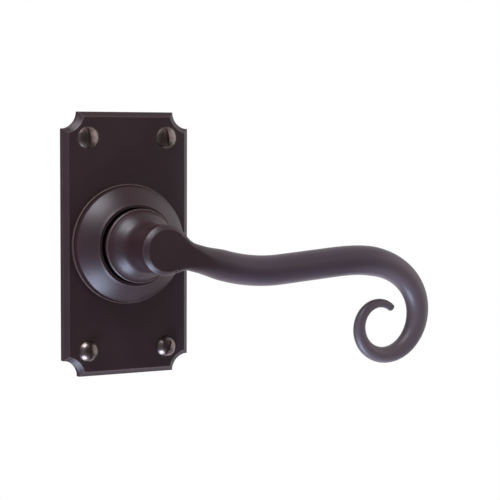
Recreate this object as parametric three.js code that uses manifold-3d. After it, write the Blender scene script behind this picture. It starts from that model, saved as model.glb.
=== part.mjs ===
// A sprung door lever handle on a bevelled backplate, in millimetres.
//
// The origin is where the spindle's axis meets the back of the plate. +X runs towards the scroll
// of the lever, -Y out of the door and +Z up, so the plate lies on the door at y = 0.

import * as THREE from 'three';
import { mergeVertices } from 'three/addons/utils/BufferGeometryUtils.js';
import Module from 'manifold-3d';

const wasm = await Module();
wasm.setup();

// Clearances
const SEAT_GAP = 0.3; // round a screw, pin or bush in its hole
const RUNNING_GAP = 0.3; // between a piece that turns and a piece that doesn't
const CUT_OVERRUN = 1; // how far a cutting tool runs past the face that it opens

// Smoothness
const ROUND_SIDES = 48;
const SMALL_SIDES = 18;
const CURVE_STEPS = 6;
const CORNER_STEPS = 4;
const FULLEST_CORNER = 0.99; // the largest corner's share of half the section
const ARC_STEPS = 14;
const PLAN_STEPS = { root: 17, dip: 6, rise: 3, crest: 14, turn: 6, scroll: 24 };

// Backplate
const PLATE_WIDTH = 52.5;
const PLATE_HEIGHT = 102;
const PLATE_WALL = 2.6;
const PLATE_BEVEL_DEPTH = 1.7;
const PLATE_BEVEL_WIDTH = 1.95;
const PLATE_NOTCH_RADIUS = 6.45;
const PLATE_THICKNESS = PLATE_WALL + PLATE_BEVEL_DEPTH;

// Slotted wood screws through the plate
const WOOD_SCREW_PITCH_X = 32.8;
const WOOD_SCREW_PITCH_Z = 82.2;
const WOOD_SCREW_HEAD_RADIUS = 4.2;
const WOOD_SCREW_SHANK_RADIUS = 2;
const WOOD_SCREW_DOME = 1.1;
const WOOD_SCREW_SINK = 2.2;
const WOOD_SCREW_LENGTH = 19;
const WOOD_SCREW_POINT = 5;
const WOOD_SCREW_TIP_RADIUS = 0.3;
const SLOT_WIDTH = 0.95;
const SLOT_DEPTH = 1.2;
const SLOT_ANGLES = { top_left: 94, top_right: 97, bottom_left: 91, bottom_right: 68 };

// Lever head: heights are above the plate's front face
const HUB_RADIUS = 14.2;
const HUB_BASE_HEIGHT = 6.9;
const RIM_HEIGHT = 12.7;
const RIM_EDGE = 0.5;
const RIM_WALL = 1.1;
const RIM_OVERHANG = 1.2; // how far the rim stands out over the hub behind it
const RIM_GROOVE_WIDTH = 0.35; // between the rim and the bell
const RIM_GROOVE_DEPTH = 0.3;
const VALLEY_HEIGHT = 24.3;
const VALLEY_RADIUS = 8.8;
const NECK_RADIUS = 9.5;
const FACE_HEIGHT = 37.3;
const FACE_EDGE = 1.6;
const FACE_EDGE_FLATNESS = 0.22; // 0 is a full round, 0.5 a plain bevel
// How far each curve of the bell runs straight on before it bends, as a share of the bell's rise
const BELL_EASE = { face: 0.5, hollow: 0.33, shoulder: 0.62, rim: 0.5 };

// Lever arm: its centreline, as stretches that follow one another from the spindle's axis
const ROOT_SLOPE = 15.1;
const ROOT_LENGTH = 27.3;
const DIP_RADIUS = 70;
const DIP_SWEEP = 19.8;
const RISE_LENGTH = 20.9;
const CREST_LENGTH = 49.8;
const TURN_RADIUS = 17.7;
const TURN_LENGTH = 14.4;
const SCROLL_LENGTH = 54.8;
const SCROLL_END_RADIUS = 8.25;

// Lever arm: its section
const GRIP_RADIUS = 5.9;
const WAIST_RADIUS = 5.15;
const WAIST_END = 16;
const SWELL_LENGTH = 10.5;
const FILLET_RADIUS = 9.2;
const TIP_RADIUS = 1.5;
const TAPER_START = 93.5;
const BACK_FILLET_RADIUS = 4;
const TIP_EDGE = 0.55;
const TIP_STEPS = [30, 60, 90]; // degrees round the tip's edge

// Rose ring
const ROSE_FOOT_RADIUS = 23.2;
const ROSE_FLANGE_HEIGHT = 0.8;
const ROSE_FLANGE_WIDTH = 0.5;
const ROSE_EDGE_RADIUS = 22.4;
const ROSE_WALL_HEIGHT = 3.3;
const ROSE_LIP_RADIUS = 15.8;
const ROSE_HEIGHT = 9.2;
const ROSE_LIP_EDGE = 0.3;
const ROSE_CONE_SAG = 0.35;
const ROSE_CAVITY_RADIUS = 20;
const ROSE_CAVITY_WALL = 2.8;
const ROSE_ROOF_RADIUS = 15.9;
const ROSE_ROOF_HEIGHT = 6.9;
const ROSE_BOSS_RADIUS = 2.5;
const ROSE_BOSS_HEIGHT = 4.8;

// Countersunk machine screws that hold the rose ring from behind
const ROSE_SCREW_CIRCLE = 18.6;
const ROSE_SCREW_ANGLES = [90, 210, 330];
const ROSE_SCREW_HEAD_RADIUS = 2.75;
const ROSE_SCREW_SHANK_RADIUS = 1.45;
const ROSE_SCREW_SINK = 1.5;
const ROSE_SCREW_REACH = 4;
const ROSE_SCREW_SLOT_WIDTH = 0.7;
const ROSE_SCREW_SLOT_DEPTH = 0.75;

// Shank, bush and what holds the lever in
const SHANK_RADIUS = 8;
const BUSH_WALL = 1.4;
const BUSH_COLLAR_WALL = 2.3;
const KEY_RADIUS = 10;
const KEY_HALF_WIDTH = 8.6;
const CAM_THICKNESS = 1.3;
const CAM_RADIUS = 13.3;
const CAM_LUG_WIDTH = 5;
const CAM_LUG_REACH = 15.6;
const CAM_LUG_ANGLE = 180;
const LEVER_TRAVEL = 45;
const WASHER_THICKNESS = 1;
const WASHER_WIDTH = 3;
const CIRCLIP_THICKNESS = 1.2;
const CIRCLIP_WIDTH = 2.2;
const CIRCLIP_MOUTH = 50;
const CIRCLIP_EAR_RADIUS = 1.7;
const CIRCLIP_EAR_HOLE = 0.7;
const GROOVE_DEPTH = 0.85;
const SHANK_END_LAND = 1;

// Pins in the plate
const PIN_RADIUS = 1.25;
const STOP_PIN_CIRCLE = 14.9;
const STOP_PIN_HEIGHT = 6.2;
const ANCHOR_PIN_CIRCLE = 16.6;
const ANCHOR_PIN_HEIGHT = 3;
const PIN_SEAT = 3.4;

// Return spring
const SPRING_WIRE_RADIUS = 0.8;
const SPRING_COIL_RADIUS = 12.2;
const SPRING_PITCH = 1.8;
const SPRING_TURNS = 1.7;
const SPRING_LEG_REACH = 18.2;
const SPRING_FIXED_ANGLE = 30;
const SPRING_BEND = 1.3;
const SPRING_SIDES = 8;
const SPRING_STEPS = 72;
const SPRING_KNOT_SPACING = 15; // degrees of coil from one point of its route to the next

// Spindle and its grub screw
const SPINDLE_WIDTH = 7.6;
const SPINDLE_SOCKET_HEIGHT = 31;
const SPINDLE_REACH = 40;
const SPINDLE_CHAMFER = 0.6;
const SPINDLE_STEPS = 8; // its flats are divided along the length, so each stretch is a face
const GRUB_RADIUS = 2.2;
const GRUB_HEIGHT = 28;
const GRUB_KEY_WIDTH = 2.5;
const GRUB_KEY_DEPTH = 2;
const GRUB_SINK = 0.4;
const HEXAGON = 6;

const finishes = {
  bronze: new THREE.MeshStandardMaterial({ color: '#3b2f32', roughness: 0.45, metalness: 1 }),
  screwBronze: new THREE.MeshStandardMaterial({ color: '#4a3d38', roughness: 0.3, metalness: 1 }),
  brass: new THREE.MeshStandardMaterial({ color: '#b08a4a', roughness: 0.35, metalness: 1 }),
  steel: new THREE.MeshStandardMaterial({ color: '#8d9196', roughness: 0.35, metalness: 1 }),
  springSteel: new THREE.MeshStandardMaterial({ color: '#54585e', roughness: 0.3, metalness: 1 }),
};

// The y of a height above the plate's front face
function out(height) {
  return -(PLATE_THICKNESS + height);
}

const radians = THREE.MathUtils.degToRad;

// A place on a circle round the spindle's axis, at an angle from +X towards +Z
function onCircle(radius, degrees, y) {
  const angle = radians(degrees);
  return new THREE.Vector3(radius * Math.cos(angle), y, radius * Math.sin(angle));
}

// ---- Solids ----

function volumeOf(positions, index) {
  const [a, b, c] = [new THREE.Vector3(), new THREE.Vector3(), new THREE.Vector3()];
  let sum = 0;
  for (let i = 0; i < index.length; i += 3) {
    a.fromArray(positions, index[i] * 3);
    b.fromArray(positions, index[i + 1] * 3);
    c.fromArray(positions, index[i + 2] * 3);
    sum += a.dot(b.cross(c));
  }
  return sum / 6;
}

// A manifold solid of a closed geometry, with its faces pointing out
function solid(geometry) {
  const bare = geometry.clone();
  bare.deleteAttribute('normal');
  bare.deleteAttribute('uv');
  const welded = mergeVertices(bare);
  const positions = welded.attributes.position.array;
  const corners = Array.from(welded.index.array);
  const kept = [];
  for (let i = 0; i < corners.length; i += 3) {
    const [a, b, c] = corners.slice(i, i + 3);
    if (a !== b && b !== c && c !== a) kept.push(a, b, c);
  }
  const ordered = volumeOf(positions, kept) < 0 ? kept.reverse() : kept;
  const triVerts = new Uint32Array(ordered);
  return new wasm.Manifold(new wasm.Mesh({ numProp: 3, vertProperties: positions, triVerts }));
}

function geometryOf(body) {
  const mesh = body.getMesh();
  const geometry = new THREE.BufferGeometry();
  geometry.setAttribute('position', new THREE.BufferAttribute(mesh.vertProperties, 3));
  geometry.setIndex(new THREE.BufferAttribute(mesh.triVerts, 1));
  return geometry;
}

function cut(body, tools) {
  return tools.reduce((rest, tool) => rest.subtract(tool), body);
}

function piece(name, body, finish) {
  const mesh = new THREE.Mesh(geometryOf(body), finish);
  mesh.name = name;
  return mesh;
}

// ---- Basic forms, all round or along the Y axis ----

// A profile of (radius, y) turned about the Y axis
function turned(profile, sides = ROUND_SIDES) {
  return solid(new THREE.LatheGeometry(profile.getPoints(CURVE_STEPS), sides));
}

// A straight-sided profile turned about the Y axis, closed on itself
function turnedRing(corners, sides = ROUND_SIDES) {
  const points = corners.map(([radius, y]) => new THREE.Vector2(radius, y));
  return solid(new THREE.LatheGeometry([...points, points[0]], sides));
}

function rod(radius, yFront, yBack, sides = SMALL_SIDES) {
  const geometry = new THREE.CylinderGeometry(radius, radius, yBack - yFront, sides);
  return solid(geometry.translate(0, (yFront + yBack) / 2, 0));
}

function block(width, yFront, yBack, height) {
  const geometry = new THREE.BoxGeometry(width, yBack - yFront, height);
  return solid(geometry.translate(0, (yFront + yBack) / 2, 0));
}

// A flat piece whose outline is drawn as it is seen from outside the door
function pressed(outline, yFront, yBack) {
  const options = { depth: yBack - yFront, bevelEnabled: false, curveSegments: ARC_STEPS };
  const geometry = new THREE.ExtrudeGeometry(outline, options).rotateX(Math.PI / 2);
  return solid(geometry.translate(0, yBack, 0));
}

function moved(body, place) {
  return body.translate([place.x, place.y, place.z]);
}

// ---- Backplate ----

function plateOutline() {
  const x = PLATE_WIDTH / 2;
  const z = PLATE_HEIGHT / 2;
  const notch = PLATE_NOTCH_RADIUS;
  const quarter = Math.PI / 2;
  const outline = new THREE.Shape();
  outline.moveTo(notch - x, -z);
  outline.lineTo(x - notch, -z);
  outline.absarc(x, -z, notch, 2 * quarter, quarter, true);
  outline.lineTo(x, z - notch);
  outline.absarc(x, z, notch, -quarter, -2 * quarter, true);
  outline.lineTo(notch - x, z);
  outline.absarc(-x, z, notch, 0, -quarter, true);
  outline.lineTo(-x, notch - z);
  outline.absarc(-x, -z, notch, quarter, 0, true);
  return outline;
}

function woodScrewPlaces() {
  const x = WOOD_SCREW_PITCH_X / 2;
  const z = WOOD_SCREW_PITCH_Z / 2;
  return {
    top_left: new THREE.Vector3(-x, out(0), z),
    top_right: new THREE.Vector3(x, out(0), z),
    bottom_left: new THREE.Vector3(-x, out(0), -z),
    bottom_right: new THREE.Vector3(x, out(0), -z),
  };
}

// The two stop pins stand where the cam's lug meets them at the ends of the lever's travel
function stopPinAngles() {
  const reach = CAM_LUG_WIDTH / 2 + RUNNING_GAP + PIN_RADIUS;
  const spread = THREE.MathUtils.radToDeg(Math.asin(reach / STOP_PIN_CIRCLE));
  return { rest: CAM_LUG_ANGLE + spread, travel: CAM_LUG_ANGLE - LEVER_TRAVEL - spread };
}

// The anchor pin stands beside the fixed leg of the spring, on the side that the leg pulls to
function anchorPinAngle() {
  const beside = SPRING_WIRE_RADIUS + SEAT_GAP + PIN_RADIUS;
  return SPRING_FIXED_ANGLE + THREE.MathUtils.radToDeg(Math.asin(beside / ANCHOR_PIN_CIRCLE));
}

function pinPlaces() {
  const angles = stopPinAngles();
  return {
    stop_pin_rest: { circle: STOP_PIN_CIRCLE, angle: angles.rest, height: STOP_PIN_HEIGHT },
    stop_pin_travel: { circle: STOP_PIN_CIRCLE, angle: angles.travel, height: STOP_PIN_HEIGHT },
    spring_anchor_pin: {
      circle: ANCHOR_PIN_CIRCLE,
      angle: anchorPinAngle(),
      height: ANCHOR_PIN_HEIGHT,
    },
  };
}

function woodScrewHole() {
  const head = WOOD_SCREW_HEAD_RADIUS + SEAT_GAP;
  const shank = WOOD_SCREW_SHANK_RADIUS + SEAT_GAP;
  const profile = new THREE.Path();
  profile.moveTo(0, -CUT_OVERRUN);
  profile.lineTo(head, -CUT_OVERRUN);
  profile.lineTo(head, 0);
  profile.lineTo(shank, WOOD_SCREW_SINK);
  profile.lineTo(shank, PLATE_THICKNESS + CUT_OVERRUN);
  profile.lineTo(0, PLATE_THICKNESS + CUT_OVERRUN);
  return turned(profile, SMALL_SIDES);
}

function roseScrewHole() {
  const head = ROSE_SCREW_HEAD_RADIUS + SEAT_GAP;
  const shank = ROSE_SCREW_SHANK_RADIUS + SEAT_GAP;
  const profile = new THREE.Path();
  profile.moveTo(0, CUT_OVERRUN);
  profile.lineTo(head, CUT_OVERRUN);
  profile.lineTo(head, 0);
  profile.lineTo(shank, -ROSE_SCREW_SINK);
  profile.lineTo(shank, out(ROSE_SCREW_REACH + SEAT_GAP));
  profile.lineTo(0, out(ROSE_SCREW_REACH + SEAT_GAP));
  return turned(profile, SMALL_SIDES);
}

function backplate() {
  const bevelled = new THREE.ExtrudeGeometry(plateOutline(), {
    depth: PLATE_WALL,
    bevelThickness: PLATE_BEVEL_DEPTH,
    bevelSize: PLATE_BEVEL_WIDTH,
    bevelOffset: -PLATE_BEVEL_WIDTH,
    bevelSegments: 1,
    curveSegments: CURVE_STEPS,
  }).rotateX(Math.PI / 2);
  const behind = block(PLATE_WIDTH * 2, 0, PLATE_THICKNESS, PLATE_HEIGHT * 2);
  const bushHole = rod(
    SHANK_RADIUS + RUNNING_GAP + BUSH_WALL + SEAT_GAP,
    out(CUT_OVERRUN),
    CUT_OVERRUN,
    ROUND_SIDES,
  );
  const fixings = Object.values(woodScrewPlaces()).map((place) => moved(woodScrewHole(), place));
  const roseHoles = ROSE_SCREW_ANGLES.map((angle) =>
    moved(roseScrewHole(), onCircle(ROSE_SCREW_CIRCLE, angle, 0)),
  );
  const pinHoles = Object.values(pinPlaces()).map((pin) =>
    moved(
      rod(PIN_RADIUS + SEAT_GAP, out(CUT_OVERRUN), out(0) + PIN_SEAT + SEAT_GAP),
      onCircle(pin.circle, pin.angle, 0),
    ),
  );
  const body = cut(solid(bevelled), [behind, bushHole, ...fixings, ...roseHoles, ...pinHoles]);
  return piece('backplate', body, finishes.bronze);
}

// A slotted raised countersunk screw, with its own origin where its axis meets the plate's face
function woodScrew(place, degrees) {
  const domeRadius = (WOOD_SCREW_HEAD_RADIUS ** 2 + WOOD_SCREW_DOME ** 2) / (2 * WOOD_SCREW_DOME);
  const domeAngle = Math.asin(WOOD_SCREW_HEAD_RADIUS / domeRadius);
  const profile = new THREE.Path();
  profile.moveTo(0, -WOOD_SCREW_DOME);
  profile.quadraticCurveTo(
    domeRadius * Math.tan(domeAngle / 2),
    -WOOD_SCREW_DOME,
    WOOD_SCREW_HEAD_RADIUS,
    0,
  );
  profile.lineTo(WOOD_SCREW_SHANK_RADIUS, WOOD_SCREW_SINK);
  profile.lineTo(WOOD_SCREW_SHANK_RADIUS, WOOD_SCREW_LENGTH - WOOD_SCREW_POINT);
  profile.lineTo(WOOD_SCREW_TIP_RADIUS, WOOD_SCREW_LENGTH);
  profile.lineTo(0, WOOD_SCREW_LENGTH);
  const slot = block(
    2 * (WOOD_SCREW_HEAD_RADIUS + CUT_OVERRUN),
    -WOOD_SCREW_DOME - CUT_OVERRUN,
    SLOT_DEPTH - WOOD_SCREW_DOME,
    SLOT_WIDTH,
  );
  const body = cut(turned(profile, SMALL_SIDES), [slot]);
  const mesh = piece(`screw_${place}`, body, finishes.screwBronze);
  mesh.position.copy(woodScrewPlaces()[place]);
  mesh.rotation.y = -radians(degrees);
  return mesh;
}

// A headless pin pressed into the plate
function platePin(name, pin) {
  const body = rod(PIN_RADIUS, out(pin.height), out(0) + PIN_SEAT);
  const mesh = piece(name, body, finishes.steel);
  mesh.position.copy(onCircle(pin.circle, pin.angle, 0));
  return mesh;
}

// ---- Rose ring ----

function roseProfile() {
  const bore = HUB_RADIUS + RUNNING_GAP;
  const middle = (ROSE_EDGE_RADIUS + ROSE_LIP_RADIUS) / 2 + ROSE_CONE_SAG;
  const middleHeight = (ROSE_WALL_HEIGHT + ROSE_HEIGHT) / 2 + ROSE_CONE_SAG;
  const profile = new THREE.Path();
  profile.moveTo(ROSE_FOOT_RADIUS, out(0));
  profile.lineTo(ROSE_FOOT_RADIUS, out(ROSE_FLANGE_HEIGHT));
  profile.lineTo(ROSE_FOOT_RADIUS - ROSE_FLANGE_WIDTH, out(ROSE_FLANGE_HEIGHT));
  profile.lineTo(ROSE_EDGE_RADIUS, out(ROSE_WALL_HEIGHT));
  profile.quadraticCurveTo(middle, out(middleHeight), ROSE_LIP_RADIUS, out(ROSE_HEIGHT));
  profile.lineTo(bore + ROSE_LIP_EDGE, out(ROSE_HEIGHT));
  profile.lineTo(bore, out(ROSE_HEIGHT - ROSE_LIP_EDGE));
  profile.lineTo(bore, out(ROSE_ROOF_HEIGHT));
  profile.lineTo(ROSE_ROOF_RADIUS, out(ROSE_ROOF_HEIGHT));
  profile.lineTo(ROSE_CAVITY_RADIUS, out(ROSE_CAVITY_WALL));
  profile.lineTo(ROSE_CAVITY_RADIUS, out(0));
  profile.lineTo(ROSE_FOOT_RADIUS, out(0));
  return profile;
}

function roseRing() {
  let body = turned(roseProfile());
  for (const angle of ROSE_SCREW_ANGLES) {
    const place = onCircle(ROSE_SCREW_CIRCLE, angle, 0);
    body = body.add(moved(rod(ROSE_BOSS_RADIUS, out(ROSE_BOSS_HEIGHT), out(0)), place));
    body = body.subtract(moved(roseScrewHole(), place));
  }
  return piece('rose_ring', body, finishes.bronze);
}

function roseScrew(number, angle) {
  const profile = new THREE.Path();
  profile.moveTo(0, 0);
  profile.lineTo(ROSE_SCREW_HEAD_RADIUS, 0);
  profile.lineTo(ROSE_SCREW_SHANK_RADIUS, -ROSE_SCREW_SINK);
  profile.lineTo(ROSE_SCREW_SHANK_RADIUS, out(ROSE_SCREW_REACH));
  profile.lineTo(0, out(ROSE_SCREW_REACH));
  const recess = block(
    2 * ROSE_SCREW_HEAD_RADIUS,
    -ROSE_SCREW_SLOT_DEPTH,
    CUT_OVERRUN,
    ROSE_SCREW_SLOT_WIDTH,
  );
  const body = cut(turned(profile, SMALL_SIDES), [recess]);
  const mesh = piece(`rose_screw_${number}`, body, finishes.steel);
  mesh.position.copy(onCircle(ROSE_SCREW_CIRCLE, angle, 0));
  return mesh;
}

// ---- Lever ----

// One step along the arm's centreline, in the plane of the door: where it is, which way it
// heads (an angle from +X towards +Z) and how far it is from the spindle's axis
function armStations() {
  const dip = 1 / DIP_RADIUS;
  const turn = -1 / TURN_RADIUS;
  const end = -1 / SCROLL_END_RADIUS;
  const stretches = [
    { length: ROOT_LENGTH, from: 0, to: 0, steps: PLAN_STEPS.root },
    { length: DIP_RADIUS * radians(DIP_SWEEP), from: dip, to: dip, steps: PLAN_STEPS.dip },
    { length: RISE_LENGTH, from: 0, to: 0, steps: PLAN_STEPS.rise },
    { length: CREST_LENGTH, from: 0, to: turn, steps: PLAN_STEPS.crest },
    { length: TURN_LENGTH, from: turn, to: turn, steps: PLAN_STEPS.turn },
    { length: SCROLL_LENGTH, from: turn, to: end, steps: PLAN_STEPS.scroll },
  ];
  const station = { x: 0, z: 0, heading: -radians(ROOT_SLOPE), distance: 0 };
  const stations = [{ ...station }];
  for (const { length, from, to, steps } of stretches) {
    const step = length / steps;
    for (let i = 0; i < steps; i += 1) {
      const bend = THREE.MathUtils.lerp(from, to, (i + 0.5) / steps) * step;
      station.x += step * Math.cos(station.heading + bend / 2);
      station.z += step * Math.sin(station.heading + bend / 2);
      station.heading += bend;
      station.distance += step;
      stations.push({ ...station });
    }
  }
  return stations;
}

// Half the arm's width where it leaves the head: a fillet between the round neck and the waist
function rootHalfWidth(distance) {
  const centreSide = WAIST_RADIUS + FILLET_RADIUS;
  const centreAlong = Math.sqrt((NECK_RADIUS + FILLET_RADIUS) ** 2 - centreSide ** 2);
  const along = Math.max(centreAlong - distance, 0);
  return centreSide - Math.sqrt(FILLET_RADIUS ** 2 - along ** 2);
}

// How far the fillet reaches back along the arm towards the spindle's axis
function filletStart() {
  const share = NECK_RADIUS / (NECK_RADIUS + FILLET_RADIUS);
  const centreSide = WAIST_RADIUS + FILLET_RADIUS;
  return share * Math.sqrt((NECK_RADIUS + FILLET_RADIUS) ** 2 - centreSide ** 2);
}

// How much deeper the arm's back is where a fillet carries it into the neck
function backFillet(distance) {
  const short = Math.min(Math.max(BACK_FILLET_RADIUS + NECK_RADIUS - distance, 0), BACK_FILLET_RADIUS);
  return BACK_FILLET_RADIUS - Math.sqrt(BACK_FILLET_RADIUS ** 2 - short ** 2);
}

// The arm's section at one distance: half its width, its front and back, and its corner radius
function armSection(distance, armLength) {
  const { smoothstep, lerp } = THREE.MathUtils;
  const middle = out(FACE_HEIGHT) + GRIP_RADIUS;
  if (distance > TAPER_START) {
    const share = (distance - TAPER_START) / (armLength - TAPER_START);
    const radius = lerp(GRIP_RADIUS, TIP_RADIUS, share);
    return { half: radius, front: middle - radius, back: middle + radius, corner: radius };
  }
  const swell = smoothstep(distance, WAIST_END, WAIST_END + SWELL_LENGTH);
  const half = rootHalfWidth(distance) + (GRIP_RADIUS - WAIST_RADIUS) * swell;
  const rounding = smoothstep(distance, filletStart(), WAIST_END + SWELL_LENGTH);
  return {
    half,
    front: out(FACE_HEIGHT),
    back: middle + GRIP_RADIUS + backFillet(distance),
    corner: lerp(FACE_EDGE, GRIP_RADIUS, rounding),
  };
}

// The points of a section, as (across, y) pairs, corner by corner. A short flat is left between
// the corners, so that no two points meet.
function sectionPoints({ half, front, back, corner }) {
  const fullest = Math.min(half, (back - front) / 2) * FULLEST_CORNER;
  const frontRadius = Math.min(corner, fullest);
  const corners = [
    [half - frontRadius, front + frontRadius, frontRadius],
    [half - fullest, back - fullest, fullest],
    [fullest - half, back - fullest, fullest],
    [frontRadius - half, front + frontRadius, frontRadius],
  ];
  return corners.flatMap(([across, y, radius], quarter) =>
    Array.from({ length: CORNER_STEPS + 1 }, (_, i) => {
      const angle = (quarter - 1 + i / CORNER_STEPS) * (Math.PI / 2);
      return [across + radius * Math.cos(angle), y + radius * Math.sin(angle)];
    }),
  );
}

function placeSection(points, station) {
  const side = [-Math.sin(station.heading), Math.cos(station.heading)];
  return points.map(
    ([across, y]) =>
      new THREE.Vector3(station.x + across * side[0], y, station.z + across * side[1]),
  );
}

// The rings that round the edge of the blunt tip, beyond the last station
function tipRings(last, section) {
  const middle = (section.front + section.back) / 2;
  return TIP_STEPS.map((degrees) => {
    const ahead = TIP_EDGE * Math.sin(radians(degrees));
    const radius = section.half - TIP_EDGE * (1 - Math.cos(radians(degrees)));
    const station = {
      ...last,
      x: last.x + ahead * Math.cos(last.heading),
      z: last.z + ahead * Math.sin(last.heading),
    };
    const points = sectionPoints({
      half: radius,
      front: middle - radius,
      back: middle + radius,
      corner: radius,
    });
    return placeSection(points, station);
  });
}

// A closed skin over rings of equally many points, with a flat cap on the first and the last
function lofted(rings) {
  const count = rings[0].length;
  const centre = (ring) =>
    ring.reduce((sum, point) => sum.add(point), new THREE.Vector3()).divideScalar(count);
  const points = [...rings.flat(), centre(rings[0]), centre(rings.at(-1))];
  const index = [];
  const last = (rings.length - 1) * count;
  for (let i = 0; i < count; i += 1) {
    const next = (i + 1) % count;
    for (let row = 0; row < last; row += count) {
      const [a, b] = [row + i, row + next];
      index.push(a, b, a + count, b, b + count, a + count);
    }
    index.push(points.length - 2, next, i);
    index.push(points.length - 1, last + i, last + next);
  }
  const geometry = new THREE.BufferGeometry().setFromPoints(points);
  geometry.setIndex(index);
  return solid(geometry);
}

function leverArm() {
  const stations = armStations();
  const armLength = stations.at(-1).distance;
  const used = stations.filter((station) => station.distance > filletStart());
  const rings = used.map((station) =>
    placeSection(sectionPoints(armSection(station.distance, armLength)), station),
  );
  const tip = tipRings(stations.at(-1), armSection(armLength, armLength));
  return lofted([...rings, ...tip]);
}

// Bell, neck, flat face, hub and shank, all turned about the spindle's axis
function leverHead() {
  const faceRadius = NECK_RADIUS - FACE_EDGE;
  const pull = FACE_EDGE * FACE_EDGE_FLATNESS;
  const rise = VALLEY_HEIGHT - RIM_HEIGHT;
  const rimTop = { radius: HUB_RADIUS - RIM_EDGE, height: RIM_HEIGHT + RIM_EDGE };
  const bellRadius = rimTop.radius - RIM_GROOVE_WIDTH;
  const profile = new THREE.Path();
  profile.moveTo(0, out(FACE_HEIGHT));
  profile.lineTo(faceRadius, out(FACE_HEIGHT));
  profile.quadraticCurveTo(
    NECK_RADIUS - pull,
    out(FACE_HEIGHT - pull),
    NECK_RADIUS,
    out(FACE_HEIGHT - FACE_EDGE),
  );
  profile.bezierCurveTo(
    NECK_RADIUS,
    out(FACE_HEIGHT - FACE_EDGE - BELL_EASE.face * rise),
    VALLEY_RADIUS,
    out(VALLEY_HEIGHT + BELL_EASE.hollow * rise),
    VALLEY_RADIUS,
    out(VALLEY_HEIGHT),
  );
  profile.bezierCurveTo(
    VALLEY_RADIUS,
    out(VALLEY_HEIGHT - BELL_EASE.shoulder * rise),
    bellRadius,
    out(RIM_HEIGHT + BELL_EASE.rim * rise),
    bellRadius,
    out(rimTop.height - RIM_GROOVE_DEPTH),
  );
  profile.lineTo(rimTop.radius, out(rimTop.height));
  profile.lineTo(HUB_RADIUS, out(RIM_HEIGHT));
  profile.lineTo(HUB_RADIUS, out(RIM_HEIGHT - RIM_WALL));
  profile.lineTo(HUB_RADIUS - RIM_OVERHANG, out(RIM_HEIGHT - RIM_WALL));
  profile.lineTo(HUB_RADIUS - RIM_OVERHANG, out(HUB_BASE_HEIGHT));
  profile.lineTo(KEY_RADIUS, out(HUB_BASE_HEIGHT));
  profile.lineTo(KEY_RADIUS, out(keyEndHeight()));
  profile.lineTo(SHANK_RADIUS, out(keyEndHeight()));
  profile.lineTo(SHANK_RADIUS, shankEnd());
  profile.lineTo(0, shankEnd());
  return turned(profile);
}

// The stop cam sits on the key, just below the hub
function camFront() {
  return out(HUB_BASE_HEIGHT) + RUNNING_GAP;
}

function camBack() {
  return camFront() + CAM_THICKNESS;
}

function keyEndHeight() {
  return HUB_BASE_HEIGHT - CAM_THICKNESS - 2 * RUNNING_GAP;
}

function washerBack() {
  return RUNNING_GAP + WASHER_THICKNESS;
}

function circlipFront() {
  return washerBack() + RUNNING_GAP;
}

function grooveBack() {
  return circlipFront() + CIRCLIP_THICKNESS + SEAT_GAP;
}

function shankEnd() {
  return grooveBack() + SHANK_END_LAND;
}

function lever() {
  const keyFlat = (side) =>
    block(KEY_RADIUS, out(HUB_BASE_HEIGHT), out(keyEndHeight() - CUT_OVERRUN), 3 * KEY_RADIUS)
      .translate([side * (KEY_HALF_WIDTH + KEY_RADIUS / 2), 0, 0]);
  const socketWidth = SPINDLE_WIDTH + 2 * SEAT_GAP;
  const socket = block(
    socketWidth,
    out(SPINDLE_SOCKET_HEIGHT),
    shankEnd() + CUT_OVERRUN,
    socketWidth,
  );
  const grooveRadius = SHANK_RADIUS - GROOVE_DEPTH;
  const groove = turnedRing([
    [grooveRadius, circlipFront() - SEAT_GAP],
    [SHANK_RADIUS + CUT_OVERRUN, circlipFront() - SEAT_GAP],
    [SHANK_RADIUS + CUT_OVERRUN, grooveBack()],
    [grooveRadius, grooveBack()],
  ]);
  const grubHole = rod(GRUB_RADIUS + SEAT_GAP, 0, NECK_RADIUS + CUT_OVERRUN)
    .rotate([-90, 0, 0])
    .translate([0, out(GRUB_HEIGHT), 0]);
  const body = cut(leverHead().add(leverArm()), [
    keyFlat(-1),
    keyFlat(1),
    socket,
    groove,
    grubHole,
  ]);
  return piece('lever', body, finishes.bronze);
}

// ---- Bush, cam, washer and circlip ----

function bush() {
  const bore = SHANK_RADIUS + RUNNING_GAP;
  const top = out(keyEndHeight() - RUNNING_GAP);
  const body = turnedRing([
    [bore, top],
    [bore + BUSH_COLLAR_WALL, top],
    [bore + BUSH_COLLAR_WALL, out(0)],
    [bore + BUSH_WALL, out(0)],
    [bore + BUSH_WALL, 0],
    [bore, 0],
  ]);
  return piece('bush', body, finishes.brass);
}

// The cam's hole: a round hole with two flats that fit the lever's key
function keyHole() {
  const radius = KEY_RADIUS + SEAT_GAP;
  const flat = KEY_HALF_WIDTH + SEAT_GAP;
  const corner = Math.acos(flat / radius);
  const hole = new THREE.Path();
  hole.absarc(0, 0, radius, corner, Math.PI - corner);
  hole.absarc(0, 0, radius, Math.PI + corner, 2 * Math.PI - corner);
  hole.closePath();
  return hole;
}

// Where the spring's moving leg stands: the spring winds from its fixed leg towards the cam
function springMovingAngle() {
  return SPRING_FIXED_ANGLE + 360 * SPRING_TURNS;
}

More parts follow.
